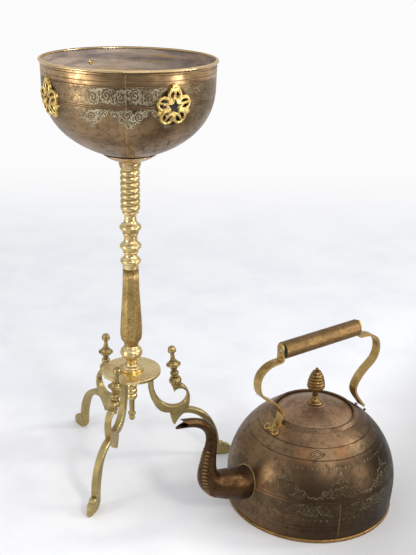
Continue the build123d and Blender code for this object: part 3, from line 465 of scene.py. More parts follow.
def linesAt(w, height, places, width):
    return allOf(w, [w.group(turnedLine, Height=height, At=at, Width=width).outputs["Mask"] for at in places])


def seamAt(w, turn, height, place, half, low, high):
    # an upright soldered seam
    away = w.apart(turn, place)
    line = w.step(away, half, half * 0.5)
    return w.times(line, w.group(heightBand, Height=height, Low=low, High=high).outputs["Mask"])


# heights above the floor in metres, counts round the whole bowl
bowlLook = {
    "bright": rgb(148, 122, 90), "dull": rgb(106, 88, 66), "stain": rgb(52, 40, 27),
    "band": rgb(196, 162, 120), "patch": 14.0, "stained": 0.45, "polish": 0.32,
    "inlay": rgb(222, 214, 184), "ground": rgb(108, 91, 67), "line": rgb(42, 31, 20),
    "frieze": {"Low": 0.712, "High": 0.7385, "Count": 42.0, "Aspect": 1.0, "Line": 0.15},
    "hangings": {"Top": 0.7055, "Depth": 0.0335, "Count": 14.0, "Phase": math.radians(-84.5), "Sharp": 0.95,
                 "Line": 0.0008},
    "filling": {"Low": 0.6855, "High": 0.7055, "Count": 48.0, "Aspect": 0.95, "Line": 0.20},
    "deeper": {"Low": 0.6695, "High": 0.6865, "Count": 56.0, "Aspect": 0.9, "Line": 0.20},
    "petals": {"Low": 0.604, "High": 0.658, "Soft": 0.006}, "petalCount": 30.0, "petalLean": 26.0,
    "scallops": {"Top": 0.670, "Depth": 0.010, "Phase": 0.0, "Sharp": 0.5, "Line": 0.0009},
    "lines": (0.7605, 0.7565, 0.7475, 0.7405, 0.7100, 0.7070), "lineWidth": 0.0008,
    "rubbedFrom": (0.738, 0.746), "deepShadeFrom": (0.728, 0.690), "rimFrom": (0.7605, 0.7625),
    "inside": rgb(218, 199, 180), "insideDark": rgb(150, 136, 130), "insideGold": rgb(220, 184, 128),
    "deepShade": rgb(62, 52, 50),
    "rim": rgb(226, 194, 144), "solder": rgb(206, 170, 110), "plateShade": rgb(34, 26, 20),
    "seam": {"place": math.radians(-87.0), "half": 0.0055, "low": 0.61, "high": 0.7605},
    "front": math.radians(-88.0), "frontFrom": (math.radians(40.0), math.radians(8.0), 0.22, 0.95),
    "plateShadeReach": 0.032, "plateShadeSoft": 0.006,
}


def paintedPlateShade(w, turn, height, look):
    # painted shade: the wall behind and round the edge of the pierced plates is painted near black, standing
    # for the shade in the holes and under the plates
    masks = []
    for plate in plates["turns"]:
        off = w.less(turn, math.radians(plate))
        off = w.less(w.math("FLOORED_MODULO", w.plus(off, math.pi), 2 * math.pi), math.pi)
        across = w.times(off, bowlShape["radius"])
        up = w.less(height, plates["height"])
        far = w.length(across, up)
        masks.append(w.step(far, look["plateShadeReach"], look["plateShadeReach"] - look["plateShadeSoft"]))
    return allOf(w, masks)


def makeBowlFinish():
    look = bowlLook
    material, w, shader = newMaterial("bowlPatina")
    place = w.group(turnedPlace, **{"Axis X": standX, "Axis Y": standY})
    turn, height = place.outputs["Turn"], place.outputs["Height"]
    spot = w.node("TexCoord").outputs["Object"]
    worn = wornMetal(w, look)
    frieze, filling, deeper = (w.group(scrollwork, Turn=turn, Height=height, **look[band])
                               for band in ("frieze", "filling", "deeper"))
    hanging = w.group(pendants, Turn=turn, Height=height, **look["hangings"])
    filled = w.most(filling.outputs["Mask"], deeper.outputs["Mask"])
    filled = w.times(filled, hanging.outputs["Inside"])
    ground = w.most(frieze.outputs["Inside"], hanging.outputs["Inside"])
    raised = allOf(w, [frieze.outputs["Mask"], filled, hanging.outputs["Edge"]])
    # leafy hatching between the spirals, and worn gaps in it
    leaves = w.noise(spot, 330.0, 2.0, 0.5)
    leafy = w.times(w.step(w.apart(leaves, 0.5), 0.035, 0.012), ground)
    raised = w.most(raised, w.times(leafy, 0.8))
    # the inlay survives best at the front and fades round the sides
    off = w.apart(turn, look["front"])
    front = w.step(off, *look["frontFrom"])
    keep = w.times(w.step(w.noise(spot, 26.0, 4.0, 0.65), 0.34, 0.58, 0.3, 1.0), front)
    keep = w.times(keep, w.step(w.noise(spot, 420.0, 3.0, 0.6), 0.34, 0.56, 0.3, 1.0))
    lines = linesAt(w, height, look["lines"], look["lineWidth"])
    petalTurn = w.times(turn, look["petalCount"] / (2 * math.pi))
    bent = w.math("MULTIPLY_ADD", height, look["petalLean"], petalTurn)
    rib = w.apart(w.math("FRACT", bent), 0.5)
    petalBand = w.group(heightBand, Height=height, **look["petals"]).outputs["Mask"]
    petal = w.times(w.step(rib, 0.07, 0.02), petalBand)
    scallop = w.group(pendants, Turn=turn, Height=height, Count=look["petalCount"], **look["scallops"])
    petal = w.most(petal, scallop.outputs["Edge"])
    seam = seamAt(w, turn, height, **look["seam"])
    # the plain band under the rim is rubbed bright
    rubAndGlint = w.step(w.noise(spot, 20.0, 4.0, 0.6), 0.34, 0.6, 0.25, 0.85)
    rubAndGlint = w.times(w.step(height, *look["rubbedFrom"]), rubAndGlint)
    color = w.mix(rubAndGlint, worn.outputs["Color"], look["band"])
    color = w.mix(w.times(ground, 0.5), color, look["ground"])
    color = w.mix(w.times(w.times(ground, 0.35), front), color, look["stain"])
    color = w.mix(w.times(raised, keep), color, look["inlay"])
    color = w.mix(w.times(petal, 0.35), color, look["line"])
    color = w.mix(w.times(lines, 0.7), color, look["line"])
    color = w.mix(w.times(seam, 0.5), color, look["solder"])
    # brown streaks rubbed along the wall
    squash = w.node("Mapping")
    w.put(squash.inputs["Vector"], spot)
    squash.inputs["Scale"].default_value = (1.0, 1.0, 4.0)
    streaks = w.step(w.noise(squash.outputs[0], 16.0, 6.0, 0.7), 0.46, 0.70)
    color = w.mix(w.times(streaks, 0.45), color, look["stain"])
    brushed = w.node("Mapping")
    w.put(brushed.inputs["Vector"], spot)
    brushed.inputs["Scale"].default_value = (1.0, 1.0, 7.0)
    clouds = w.noise(brushed.outputs[0], 10.0, 6.0, 0.65)
    gilt = w.step(w.noise(brushed.outputs[0], 17.0, 6.0, 0.75), 0.50, 0.64)
    gilt = w.times(gilt, w.step(w.noise(spot, 7.0, 2.0, 0.5), 0.44, 0.56))
    inside = w.mix(w.step(clouds, 0.38, 0.66), look["inside"], look["insideDark"])
    inside = w.mix(w.times(gilt, 0.85), inside, look["insideGold"])
    # painted shade: the inside is painted near black low down, standing for the shade deep in the bowl
    deepShade = w.step(height, *look["deepShadeFrom"])
    inside = w.mix(w.times(deepShade, 0.9), inside, look["deepShade"])
    rim = w.step(height, *look["rimFrom"])
    facing = w.times(w.step(place.outputs["Outward"], 0.0, -0.05), w.less(1.0, rim))
    outer = w.less(1.0, facing)
    # painted shade round and behind the pierced plates, seen through their holes and at their edges
    plateShade = w.times(paintedPlateShade(w, turn, height, look), outer)
    color = w.mix(w.times(plateShade, 0.88), color, look["plateShade"])
    color = w.mix(facing, color, inside)
    color = w.mix(rim, color, look["rim"])
    w.put(shader.inputs["Base Color"], color)
    rough = w.math("MULTIPLY_ADD", raised, 0.22, worn.outputs["Roughness"])
    rough = w.math("MULTIPLY_ADD", rubAndGlint, -0.16, rough)
    rough = w.math("MULTIPLY_ADD", facing, 0.20, rough)
    w.put(shader.inputs["Roughness"], w.math("MULTIPLY_ADD", plateShade, 0.3, rough))
    # the ash-greyed inside is only part metal
    w.put(shader.inputs["Metallic"], w.math("MULTIPLY_ADD", facing, -0.55, 1.0))
    relief = w.math("MULTIPLY_ADD", worn.outputs["Height"], 0.2, w.times(raised, 0.5))
    relief = w.less(relief, w.most(lines, w.times(petal, 0.6)))
    relief = w.times(w.math("MULTIPLY_ADD", seam, 0.5, relief), outer)
    addBump(w, shader, relief, 0.5, 0.0005)
    return material


# heights above the floor in metres, counts round the whole kettle; glints, which are painted orange
# reflections: turn in degrees, height, reach
kettleLook = {
    "bright": rgb(150, 120, 88), "dull": rgb(110, 88, 66), "stain": rgb(46, 34, 24),
    "patch": 13.0, "stained": 0.4, "polish": 0.38,
    "low": rgb(55, 43, 32), "lowFrom": (0.180, 0.146, 0.0, 0.86),
    "litSide": math.radians(-160.0), "litFrom": (0.96, 0.42, 0.38, 1.0),
    "darkReflection": rgb(24, 18, 13), "darkReflectionSide": math.radians(-5.0), "darkReflectionFrom": (0.39, 0.87, 0.0, 0.62),
    "verdigris": rgb(140, 136, 108), "ground": rgb(58, 46, 34), "line": rgb(30, 22, 15),
    "glintOrange": rgb(156, 106, 66), "solder": rgb(168, 132, 80),
    "dotRows": (0.1305, 0.0470), "dots": {"Count": 96.0, "Spacing": 0.0088, "Size": 0.0022},
    "arches": {"Top": 0.1270, "Depth": 0.0440, "Count": 9.0, "Phase": math.radians(-94.0), "Sharp": 0.75,
               "Line": 0.0010},
    "upper": {"Low": 0.1080, "High": 0.1270, "Count": 60.0, "Aspect": 0.95, "Line": 0.17},
    "lower": {"Low": 0.0840, "High": 0.1050, "Count": 58.0, "Aspect": 0.95, "Line": 0.17},
    "skirt": {"Low": 0.0540, "High": 0.0760, "Count": 56.0, "Aspect": 0.95, "Line": 0.15},
    "collar": {"Low": 0.1425, "High": 0.1545, "Count": 64.0, "Aspect": 0.9, "Line": 0.22},
    "archBand": {"Low": 0.0835, "High": 0.1275},
    "lines": (0.0255, 0.0330, 0.0800, 0.1410, 0.1560), "lineWidth": 0.0008,
    "seam": {"place": math.radians(-76.0), "half": 0.0075, "low": 0.010, "high": 0.076},
    "cartouche": math.radians(-92.0), "cartoucheHeight": 0.1485, "neckRadius": 0.112,
    "lozenges": ((0.0085, 0.0011, 0.0004), (0.0045, 0.0009, 0.0003)),
    "glints": ((-104.0, 0.146, 0.016), (-137.0, 0.083, 0.019), (-70.0, 0.150, 0.014)), "glintRadius": 0.125,
}


def makeKettleFinish():
    look = kettleLook
    material, w, shader = newMaterial("kettlePatina")
    place = w.group(turnedPlace, **{"Axis X": kettleX, "Axis Y": kettleY})
    turn, height = place.outputs["Turn"], place.outputs["Height"]
    spot = w.node("TexCoord").outputs["Object"]
    worn = wornMetal(w, look)
    dots = allOf(w, [w.group(dotRow, Turn=turn, Height=height, At=at, **look["dots"]).outputs["Mask"]
                     for at in look["dotRows"]])
    arches = w.group(pendants, Turn=turn, Height=height, **look["arches"])
    upper, lower, skirt, collar = (w.group(scrollwork, Turn=turn, Height=height, **look[band])
                                   for band in ("upper", "lower", "skirt", "collar"))
    filled = w.most(upper.outputs["Mask"], lower.outputs["Mask"])
    outside = w.less(1.0, arches.outputs["Inside"])
    band = w.group(heightBand, Height=height, **look["archBand"]).outputs["Mask"]
    filled = w.times(w.times(filled, outside), band)
    faint = w.times(collar.outputs["Mask"], 0.3)
    carved = allOf(w, [filled, skirt.outputs["Mask"], arches.outputs["Edge"], faint])
    stipple = w.node("TexVoronoi", feature="F1")
    w.put(stipple.inputs["Vector"], spot)
    stipple.inputs["Scale"].default_value = 420.0
    ground = w.most(w.times(band, outside), skirt.outputs["Inside"])
    punched = w.times(w.step(stipple.outputs["Distance"], 0.32, 0.12), ground)
    # one lozenge shield in the neck band
    across = w.math("ABSOLUTE", w.times(w.less(turn, look["cartouche"]), look["neckRadius"]))
    rise = w.apart(height, look["cartoucheHeight"])
    lozenge = w.plus(w.times(across, 0.62), w.times(rise, 1.55))
    shield = allOf(w, [w.step(w.apart(lozenge, size), out, core) for size, out, core in look["lozenges"]])
    lines = linesAt(w, height, look["lines"], look["lineWidth"])
    seam = seamAt(w, turn, height, **look["seam"])
    keep = w.step(w.noise(spot, 15.0, 4.0, 0.65), 0.38, 0.64, 0.2, 0.85)
    keep = w.times(keep, w.step(w.noise(spot, 380.0, 3.0, 0.7), 0.42, 0.58, 0.12, 1.0))
    # the shoulder is rubbed, the wall under it has gone dark
    uneven = w.math("MULTIPLY_ADD", w.noise(spot, 12.0, 4.0, 0.6), 0.03, height)
    lowDown = w.step(uneven, *look["lowFrom"])
    # painted light: the darkening low down is lessened on the side towards litSide, a painted pool of light
    # there
    # cosines, so that nothing jumps where the turn starts again at the back
    lit = w.math("COSINE", w.less(turn, look["litSide"]))
    lowDown = w.times(lowDown, w.step(lit, *look["litFrom"]))
    color = w.mix(lowDown, worn.outputs["Color"], look["low"])
    # painted reflection: the right side is painted near black for the dark room that it mirrors
    shaded = w.math("COSINE", w.less(turn, look["darkReflectionSide"]))
    color = w.mix(w.step(shaded, *look["darkReflectionFrom"]), color, look["darkReflection"])
    color = w.mix(w.times(ground, 0.45), color, look["ground"])
    # painted reflection: orange patches are painted at the listed spots, standing for orange reflections on
    # the left and at the shoulder
    rubAndGlint = []
    for degrees, z, reach in look["glints"]:
        aside = w.times(w.less(turn, math.radians(degrees)), look["glintRadius"])
        aside = w.math("DIVIDE", aside, 1.7)      # the painted reflections are longer than high
        over = w.less(height, z)
        far = w.length(aside, over)
        ragged = w.plus(far, w.times(w.noise(spot, 55.0, 4.0, 0.6), 0.014))
        rubAndGlint.append(w.step(ragged, reach + 0.009, 0.004))
    color = w.mix(w.times(allOf(w, rubAndGlint), 0.5), color, look["glintOrange"])
    color = w.mix(w.times(carved, keep), color, look["verdigris"])
    color = w.mix(w.times(punched, w.times(keep, 0.9)), color, look["verdigris"])
    color = w.mix(w.times(w.times(dots, keep), 0.8), color, look["verdigris"])
    color = w.mix(w.times(w.most(lines, shield), 0.7), color, look["line"])
    color = w.mix(w.times(seam, 0.4), color, look["solder"])
    w.put(shader.inputs["Base Color"], color)
    rough = w.math("MULTIPLY_ADD", w.most(carved, dots), 0.2, worn.outputs["Roughness"])
    w.put(shader.inputs["Roughness"], rough)
    relief = w.math("MULTIPLY_ADD", worn.outputs["Height"], 0.25, w.times(carved, 0.45))
    relief = w.less(relief, w.times(punched, 0.35))
    relief = w.less(relief, allOf(w, [lines, shield, w.times(dots, 0.6)]))
    addBump(w, shader, relief, 0.55, 0.0005)
    return material


lidLook = {"bright": rgb(166, 134, 104), "dull": rgb(126, 101, 77), "stain": rgb(58, 43, 31),
           "patch": 20.0, "stained": 0.35, "polish": 0.38}
spoutLook = {"bright": rgb(86, 63, 41), "dull": rgb(52, 37, 23), "stain": rgb(24, 16, 10),
             "patch": 30.0, "stained": 0.5, "polish": 0.36}
panLook = {"bright": rgb(160, 124, 74), "dull": rgb(92, 68, 42), "stain": rgb(38, 28, 18),
           "patch": 45.0, "stained": 0.65, "polish": 0.38}
saucerLook = {"bright": rgb(206, 178, 132), "dull": rgb(156, 132, 96), "stain": rgb(70, 56, 38),
              "patch": 30.0, "stained": 0.45, "polish": 0.32}


def makeChasedFinish(name, look):
    # worn metal with winding lines all over it, laid round the column or along the grip
    material, w, shader = newMaterial(name)
    worn = wornMetal(w, look)
    spot = w.node("TexCoord").outputs["Object"]
    if "girth" in look:
        place = w.group(turnedPlace, **{"Axis X": standX, "Axis Y": standY})
        across = w.times(place.outputs["Turn"], look["girth"])
        up = place.outputs["Height"]
    else:
        axis = look["axis"]
        along = w.node("VectorMath", operation="DOT_PRODUCT")
        w.put(along.inputs[0], spot)
        along.inputs[1].default_value = axis
        up = along.outputs["Value"]
        parts = w.node("SeparateXYZ")
        w.put(parts.inputs[0], spot)
        side = w.node("VectorMath", operation="DOT_PRODUCT")
        w.put(side.inputs[0], spot)
        side.inputs[1].default_value = (-axis[1], axis[0], 0.0)
        across = w.plus(parts.outputs[2], w.times(side.outputs["Value"], 0.7))
    cut = w.group(chasedLines, Across=across, Up=up, Size=look["size"], Line=0.10)
    marks = w.most(cut.outputs["Mask"], w.times(cut.outputs["Cell"], 0.6))
    w.put(shader.inputs["Base Color"], w.mix(w.times(marks, 0.42), worn.outputs["Color"], look["stain"]))
    w.put(shader.inputs["Roughness"], w.math("MULTIPLY_ADD", marks, 0.12, worn.outputs["Roughness"]))
    relief = w.less(w.times(worn.outputs["Height"], 0.3), marks)
    addBump(w, shader, relief, look["depth"], 0.0005)
    return material


gripAxis = Vector((math.cos(kettleTurn), math.sin(kettleTurn), 0.0))
shaftLook = {"bright": rgb(196, 167, 108), "dull": rgb(157, 130, 80), "stain": rgb(84, 64, 36),
             "patch": 30.0, "stained": 0.35, "polish": 0.34, "depth": 0.3, "size": 150.0, "girth": 0.019}
gripLook = {"bright": rgb(136, 108, 70), "dull": rgb(98, 75, 47), "stain": rgb(46, 33, 20),
            "patch": 40.0, "stained": 0.35, "polish": 0.36, "depth": 0.4, "size": 190.0, "axis": gripAxis}
finish["bowl"] = makeBowlFinish()
finish["kettle"] = makeKettleFinish()
finish["lid"] = makeCastFinish("lidPatina", lidLook)
finish["spout"] = makeCastFinish("spoutPatina", spoutLook)
finish["pan"] = makeCastFinish("panBrass", panLook)
finish["saucer"] = makeCastFinish("saucerBrass", saucerLook)
finish["shaft"] = makeChasedFinish("shaftBrass", shaftLook)
finish["grip"] = makeChasedFinish("gripBrass", gripLook)
print("finishes made")

wearing = {
    "standBrass": ["base_disc", "foot_turning", "triple_knop_turning", "ring_turning", "ringed_nut"],
    "finialBrass": ["pendant_spindle", "leg_finial_right", "leg_finial_back", "leg_finial_front"],
    "legBrass": ["leg_right", "leg_back", "leg_front"],
    "rosetteBrass": ["rosette_front_right", "rosette_front_left", "rosette_back_left", "rosette_back_right",
                     "rosette_rivets"],
    "strapBrass": ["handle_strap_front", "handle_strap_rear"], "rivetCopper": ["handle_rivets"],
    "knobBrass": ["lid_knob"],
    "nutBrass": ["bowl_nut", "bowl_washer", "lid_nut", "lid_collar"],
    "rodSteel": ["tie_rod", "handle_rod"],
    "plugGrey": ["grip_bush_front", "grip_bush_rear"],
    "bowl": ["bowl"], "saucer": ["bowl_saucer"], "shaft": ["engraved_shaft"],
    "kettle": ["kettle_body"], "pan": ["kettle_base"], "spout": ["spout"], "shadedRingBrass": ["lid_ring"],
    "lid": ["lid"], "grip": ["grip_tube"],
}


def dress(node, material):
    obj = bpy.data.objects[node]
    for slot in obj.material_slots:
        slot.link = "OBJECT"
        slot.material = material


for name, nodes in wearing.items():
    for node in nodes:
        dress(node, finish[name])
print("nodes dressed")


def addPiece(name, mesh, material, body):
    # a smooth piece laid over the solids, riding on one body
    data = bpy.data.meshes.new(name)
    mesh.normal_update()
    mesh.to_mesh(data)
    mesh.free()
    for face in data.polygons:
        face.use_smooth = True
    obj = bpy.data.objects.new(name, data)
    scene.collection.objects.link(obj)
    data.materials.append(material)
    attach(obj, body)
    return obj


# the rounded cross-section, in shares of width and height
crown = ((-0.5, -0.35), (-0.36, 0.55), (0.0, 1.0), (0.36, 0.55), (0.5, -0.35))


def layRibbon(mesh, path, width, height, closed=False):
    # a strip with a rounded back; path holds points with the way that the surface faces there
    rings = []
    count = len(path)
    for i, (point, normal) in enumerate(path):
        before = path[i - 1][0] if closed or i > 0 else point
        after = path[(i + 1) % count][0] if closed or i < count - 1 else point
        side = (after - before).cross(normal).normalized()
        taper = 1.0 if closed else min(1.0, 0.45 + 0.55 * min(i, count - 1 - i) / 1.5)
        ring = [point + (side * (a * width) + normal * (b * height)) * taper for a, b in crown]
        rings.append([mesh.verts.new(spot) for spot in ring])
    sides = len(crown)
    for i in range(count if closed else count - 1):
        here, there = rings[i], rings[(i + 1) % count]
        for k in range(sides):
            mesh.faces.new((here[k], here[(k + 1) % sides], there[(k + 1) % sides], there[k]))
    if not closed:
        mesh.faces.new(rings[0][::-1])
        mesh.faces.new(rings[-1])


# rows of height and radius in millimetres, turn in degrees, edge a share of one side
shaftShape = {
    "foot": ((0.0, 13.0), (3.4, 13.6), (5.0, 13.4), (6.5, 13.9), (8.2, 15.4), (9.4, 16.0)),
    "body": ((10.5, 16.5), (13.0, 18.2), (17.0, 19.6), (24.0, 20.5), (34.0, 20.6), (50.0, 19.7), (72.0, 18.1),
             (90.0, 16.9), (107.0, 15.9), (130.0, 15.0), (151.0, 14.5)),
    "sides": 8, "turn": -64.0, "edge": 0.10, "stepsPerSide": 6, "spread": 1.04,
}


def buildShaft():
    # turned foot, then eight flat sides that taper straight up from the belly
    look = shaftShape
    mesh = bmesh.new()
    wide = 2 * math.pi / look["sides"]
    inner = look["stepsPerSide"] - 2
    shares = [look["edge"] / 2 + (1 - look["edge"]) * k / inner for k in range(inner + 1)]
    rings = []
    for flat, rows in ((0.0, look["foot"]), (1.0, look["body"])):
        for z, radius in rows:
            ring = []
            for side in range(look["sides"]):
                for share in shares:
                    angle = math.radians(look["turn"]) + (side + share) * wide
                    polygon = math.cos(wide / 2) / math.cos((share - 0.5) * wide) * look["spread"]
                    reach = radius * mm * (1 + flat * (polygon - 1))
                    x, y = standX + reach * math.cos(angle), standY + reach * math.sin(angle)
                    ring.append(mesh.verts.new((x, y, shaftBase + z * mm)))
            rings.append(ring)
    count = len(rings[0])
    for here, there in zip(rings, rings[1:]):
        for k in range(count):
            mesh.faces.new((here[k], here[(k + 1) % count], there[(k + 1) % count], there[k]))
    mesh.faces.new(rings[0][::-1])
    mesh.faces.new(rings[-1])
    obj = addPiece("taperedShaft", mesh, finish["shaft"], "stand")
    for polygon in obj.data.polygons:
        polygon.use_smooth = len(polygon.vertices) == 4
    obj.modifiers.new("flatSides", "WEIGHTED_NORMAL").weight = 90
    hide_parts("engraved_shaft")


buildShaft()
print("shaft built")

# lengths in millimetres on the plate, but lift, width and rise in metres
rosetteShape = {
    "lift": 0.0036, "petals": 5, "ring": 18.6, "loop": 10.0, "loopTurn": 140.0,
    "loopSteps": 22, "starOut": 15.8, "starIn": 8.0, "armEnd": 28.0, "width": 0.0034, "rise": 0.0011,
    "topLoop": ((-6.6, 12.0), (-9.2, 17.5), (-8.6, 23.5), (-4.8, 29.4), (0.0, 34.0)),
}


def wallFacing(out, z):
    # the way that the bowl's wall faces at a height
    slope = (bowlRadius(z + mm) - bowlRadius(z - mm)) / (2 * mm)
    return (out - Vector((0, 0, slope))).normalized()


def wallSpot(turn, x, y, lift):
    # a spot x across and y up a plate, in millimetres, and lifted off the bowl's wall, in metres
    z = plates["height"]
    out = Vector((math.cos(turn), math.sin(turn), 0.0))
    normal = wallFacing(out, z)
    across = Vector((-math.sin(turn), math.cos(turn), 0.0))
    up = normal.cross(across)
    start = Vector((standX, standY, z)) + out * bowlRadius(z) + across * (x * mm) + up * (y * mm)
    depth = lift
    for i in range(8):      # settles on the curved wall
        spot = start + normal * depth
        depth += bowlRadius(spot.z) + lift - math.hypot(spot.x - standX, spot.y - standY)
    spot = start + normal * depth
    outward = Vector((spot.x - standX, spot.y - standY, 0.0)).normalized()
    return spot, wallFacing(outward, spot.z)


def turned(point, angle):
    x, y = point
    return x * math.cos(angle) - y * math.sin(angle), x * math.sin(angle) + y * math.cos(angle)


def smoothed(points, steps):
    # a soft curve through the points
    rows = [points[0]] + list(points) + [points[-1]]
    out = []
    for a, b, c, d in zip(rows, rows[1:], rows[2:], rows[3:]):
        for k in range(steps):
            t = k / steps
            out.append(tuple(
                0.5 * (2 * b[i] + (c[i] - a[i]) * t + (2 * a[i] - 5 * b[i] + 4 * c[i] - d[i]) * t * t
                       + (3 * b[i] - a[i] - 3 * c[i] + d[i]) * t ** 3) for i in (0, 1)))
    out.append(points[-1])
    return out


def buildStrapwork():
    look = rosetteShape
    mesh = bmesh.new()
    for plate in plates["turns"]:
        turn = math.radians(plate)

        def lay(points, width, rise, closed=False):
            layRibbon(mesh, [wallSpot(turn, x, y, look["lift"]) for x, y in points], width, rise, closed)

        for i in range(look["petals"]):
            angle = 2 * math.pi * i / look["petals"]
            if i == 0:
                half = look["topLoop"]
                loop = smoothed(list(half) + [(-x, y) for x, y in half[-2::-1]], 5)
            else:
                swing, steps = look["loopTurn"], look["loopSteps"]
                bends = [math.radians(-swing + 2 * swing * k / steps) for k in range(steps + 1)]
                loop = [(look["loop"] * math.sin(bend), look["ring"] + look["loop"] * math.cos(bend))
                        for bend in bends]
            lay([turned(point, angle) for point in loop], look["width"], look["rise"])
            arm = [(0.0, look["starOut"] + (look["armEnd"] - look["starOut"]) * k / 5) for k in range(6)]
            lay([turned(point, angle) for point in arm], look["width"] * 0.8, look["rise"] * 1.25)
        star = []
        for i in range(2 * look["petals"]):
            reach = look["starOut"] if i % 2 == 0 else look["starIn"]
            star.append(turned((0.0, reach), math.pi * i / look["petals"]))
        outline = []
        for here, there in zip(star, star[1:] + star[:1]):
            outline += [tuple(a + (b - a) * k / 4 for a, b in zip(here, there)) for k in range(4)]
        lay(outline, look["width"], look["rise"] * 1.4, True)
    addPiece("rosetteStrapwork", mesh, finish["rosetteBrass"], "stand")


buildStrapwork()
print("strapwork laid")

# middle: height and distance from the kettle's axis; root: distance and radius; both in millimetres,
# sides in degrees and the other lengths in metres
spoutShape = {
    "middle": ((60.0, 206.0), (80.0, 213.0), (103.0, 218.5), (125.0, 223.0), (147.0, 221.0), (169.0, 217.5),
               (189.0, 218.5)),
    "castFrom": 0.07,
    "ribs": 16, "ribFrom": 0.070, "ribTo": 0.162, "ribSide": 37.0, "ribHalf": 0.0056, "ribWidth": 0.0030,
    "ribRise": 0.0011, "ribSag": 0.0016,
    "scaleRows": 24, "scaleFrom": 0.064, "scaleReach": 0.092, "scaleSides": (56.0, 70.0), "scaleHalf": 0.0022,
    "scaleWidth": 0.0016, "scaleRise": 0.0007, "scaleSag": 0.0014,
    "rootAxis": 0.0735, "root": ((118.0, 30.5), (143.0, 29.0), (176.5, 26.5)),
}


def between(rows, at):
    for (a, u), (b, v) in zip(rows, rows[1:]):
        if at <= b:
            break
    return u + (v - u) * max(0.0, min(1.0, (at - a) / (b - a)))


def buildFeathers():
    look = spoutShape
    spout = bpy.data.objects["spout"]
    tree = BVHTree.FromObject(spout, bpy.context.evaluated_depsgraph_get())
    into = spout.matrix_world.inverted()

    def hit(z, turn):
        # the spot met from outside, how it faces, and how far it is from the middle line
        reach = between(look["middle"], z / mm) * mm
        centre = Vector((kettleX + reach * math.cos(kettleTurn), kettleY + reach * math.sin(kettleTurn), z))
        way = Vector((math.cos(turn), math.sin(turn), 0.0))
        place, normal = tree.ray_cast(into @ (centre + way * look["castFrom"]), into.to_3x3() @ -way)[:2]
        if place is None:
            return None
        facing = (spout.matrix_world.to_3x3() @ normal).normalized()
        return spout.matrix_world @ place, facing, (place - into @ centre).length

    def mark(mesh, z, turn, half, width, rise, sag):
        # one feather mark, with its ends lower than its middle
        centre = hit(z, turn)
        if centre is None:
            return
        path = []
        for k in range(-3, 4):
            found = hit(z - sag * (k / 3) ** 2, turn + half / centre[2] * k / 3)
            if found is None:
                return
            path.append(found[:2])
        layRibbon(mesh, path, width, rise)

    ribs = bmesh.new()
    scales = bmesh.new()
    for side in (-1, 1):
        for i in range(look["ribs"]):
            share = i / (look["ribs"] - 1)
            z = look["ribFrom"] + (look["ribTo"] - look["ribFrom"]) * share
            half = look["ribHalf"] * (1 - 0.45 * share)
            mark(ribs, z, kettleTurn + side * math.radians(look["ribSide"]), half,
                 look["ribWidth"], look["ribRise"], look["ribSag"])
        for column, turn in enumerate(look["scaleSides"]):
            for i in range(look["scaleRows"]):
                share = (i + 0.5 * column) / look["scaleRows"]
                z = look["scaleFrom"] + look["scaleReach"] * share
                half = look["scaleHalf"] * (1 - 0.3 * share)
                mark(scales, z, kettleTurn + side * math.radians(turn), half,
                     look["scaleWidth"], look["scaleRise"], look["scaleSag"])
    addPiece("spoutRibs", ribs, finish["featherBrass"], "kettle")
    addPiece("spoutScales", scales, finish["spout"], "kettle")


# wander, width, rise and first reach in metres
seamShape = {"seed": 7, "points": 96, "wander": 0.0004, "width": 0.0021, "rise": 0.0009, "firstReach": 0.143}


def buildRootSeam():
    # an uneven run of solder where the spout leaves the dome
    look = spoutShape
    dice = random.Random(seamShape["seed"])
    out = Vector((math.cos(kettleTurn), math.sin(kettleTurn), 0.0))
    side = Vector((-out.y, out.x, 0.0))
    mesh = bmesh.new()
    path = []
    for i in range(seamShape["points"]):
        t = 2 * math.pi * i / seamShape["points"]
        reach = seamShape["firstReach"]
        for k in range(6):      # settles where the spout meets the dome
            radius = between(look["root"], reach / mm) * mm
            z = look["rootAxis"] + radius * math.sin(t)
            reach = math.sqrt(domeRadius(z) ** 2 - (radius * math.cos(t)) ** 2)
        radial = side * math.cos(t) + Vector((0, 0, math.sin(t)))
        spot = Vector((kettleX, kettleY, look["rootAxis"])) + out * reach + radial * radius
        normal = (radial + out * 0.8).normalized()
        wander = Vector([dice.uniform(-seamShape["wander"], seamShape["wander"]) for axis in range(3)])
        path.append((spot + wander, normal))
    layRibbon(mesh, path, seamShape["width"], seamShape["rise"], True)
    addPiece("rootSeam", mesh, finish["solder"], "kettle")


# outline: rows of radius and height above the lid, in millimetres
knobFootShape = {
    "outline": ((14.0, -1.6), (14.2, 0.2), (13.0, 1.3), (10.6, 2.1), (8.4, 3.6), (6.9, 5.8), (6.1, 8.4),
                (5.9, 11.0), (4.6, 12.2)),
    "steps": 48,
}


def spin(mesh, rows, place, steps):
    # rows of (radius, height) in millimetres turned about an upright axis, shut at both ends
    rings = []
    for radius, z in rows:
        rings.append([mesh.verts.new((place[0] + radius * mm * math.cos(2 * math.pi * k / steps),
                                      place[1] + radius * mm * math.sin(2 * math.pi * k / steps),
                                      place[2] + z * mm)) for k in range(steps)])
    for here, there in zip(rings, rings[1:]):
        for k in range(steps):
            mesh.faces.new((here[k], here[(k + 1) % steps], there[(k + 1) % steps], there[k]))
    mesh.faces.new(rings[0][::-1])
    mesh.faces.new(rings[-1])


def buildKnobFoot():
    mesh = bmesh.new()
    spin(mesh, knobFootShape["outline"], (kettleX, kettleY, top("lid")), knobFootShape["steps"])
    addPiece("knobFoot", mesh, finish["knobBrass"], "lid")


# rivet and ring in millimetres on the plate, width and rise in metres
washerShape = {"rivet": 31.0, "ring": 3.3, "points": 20, "width": 0.0024, "rise": 0.0012}


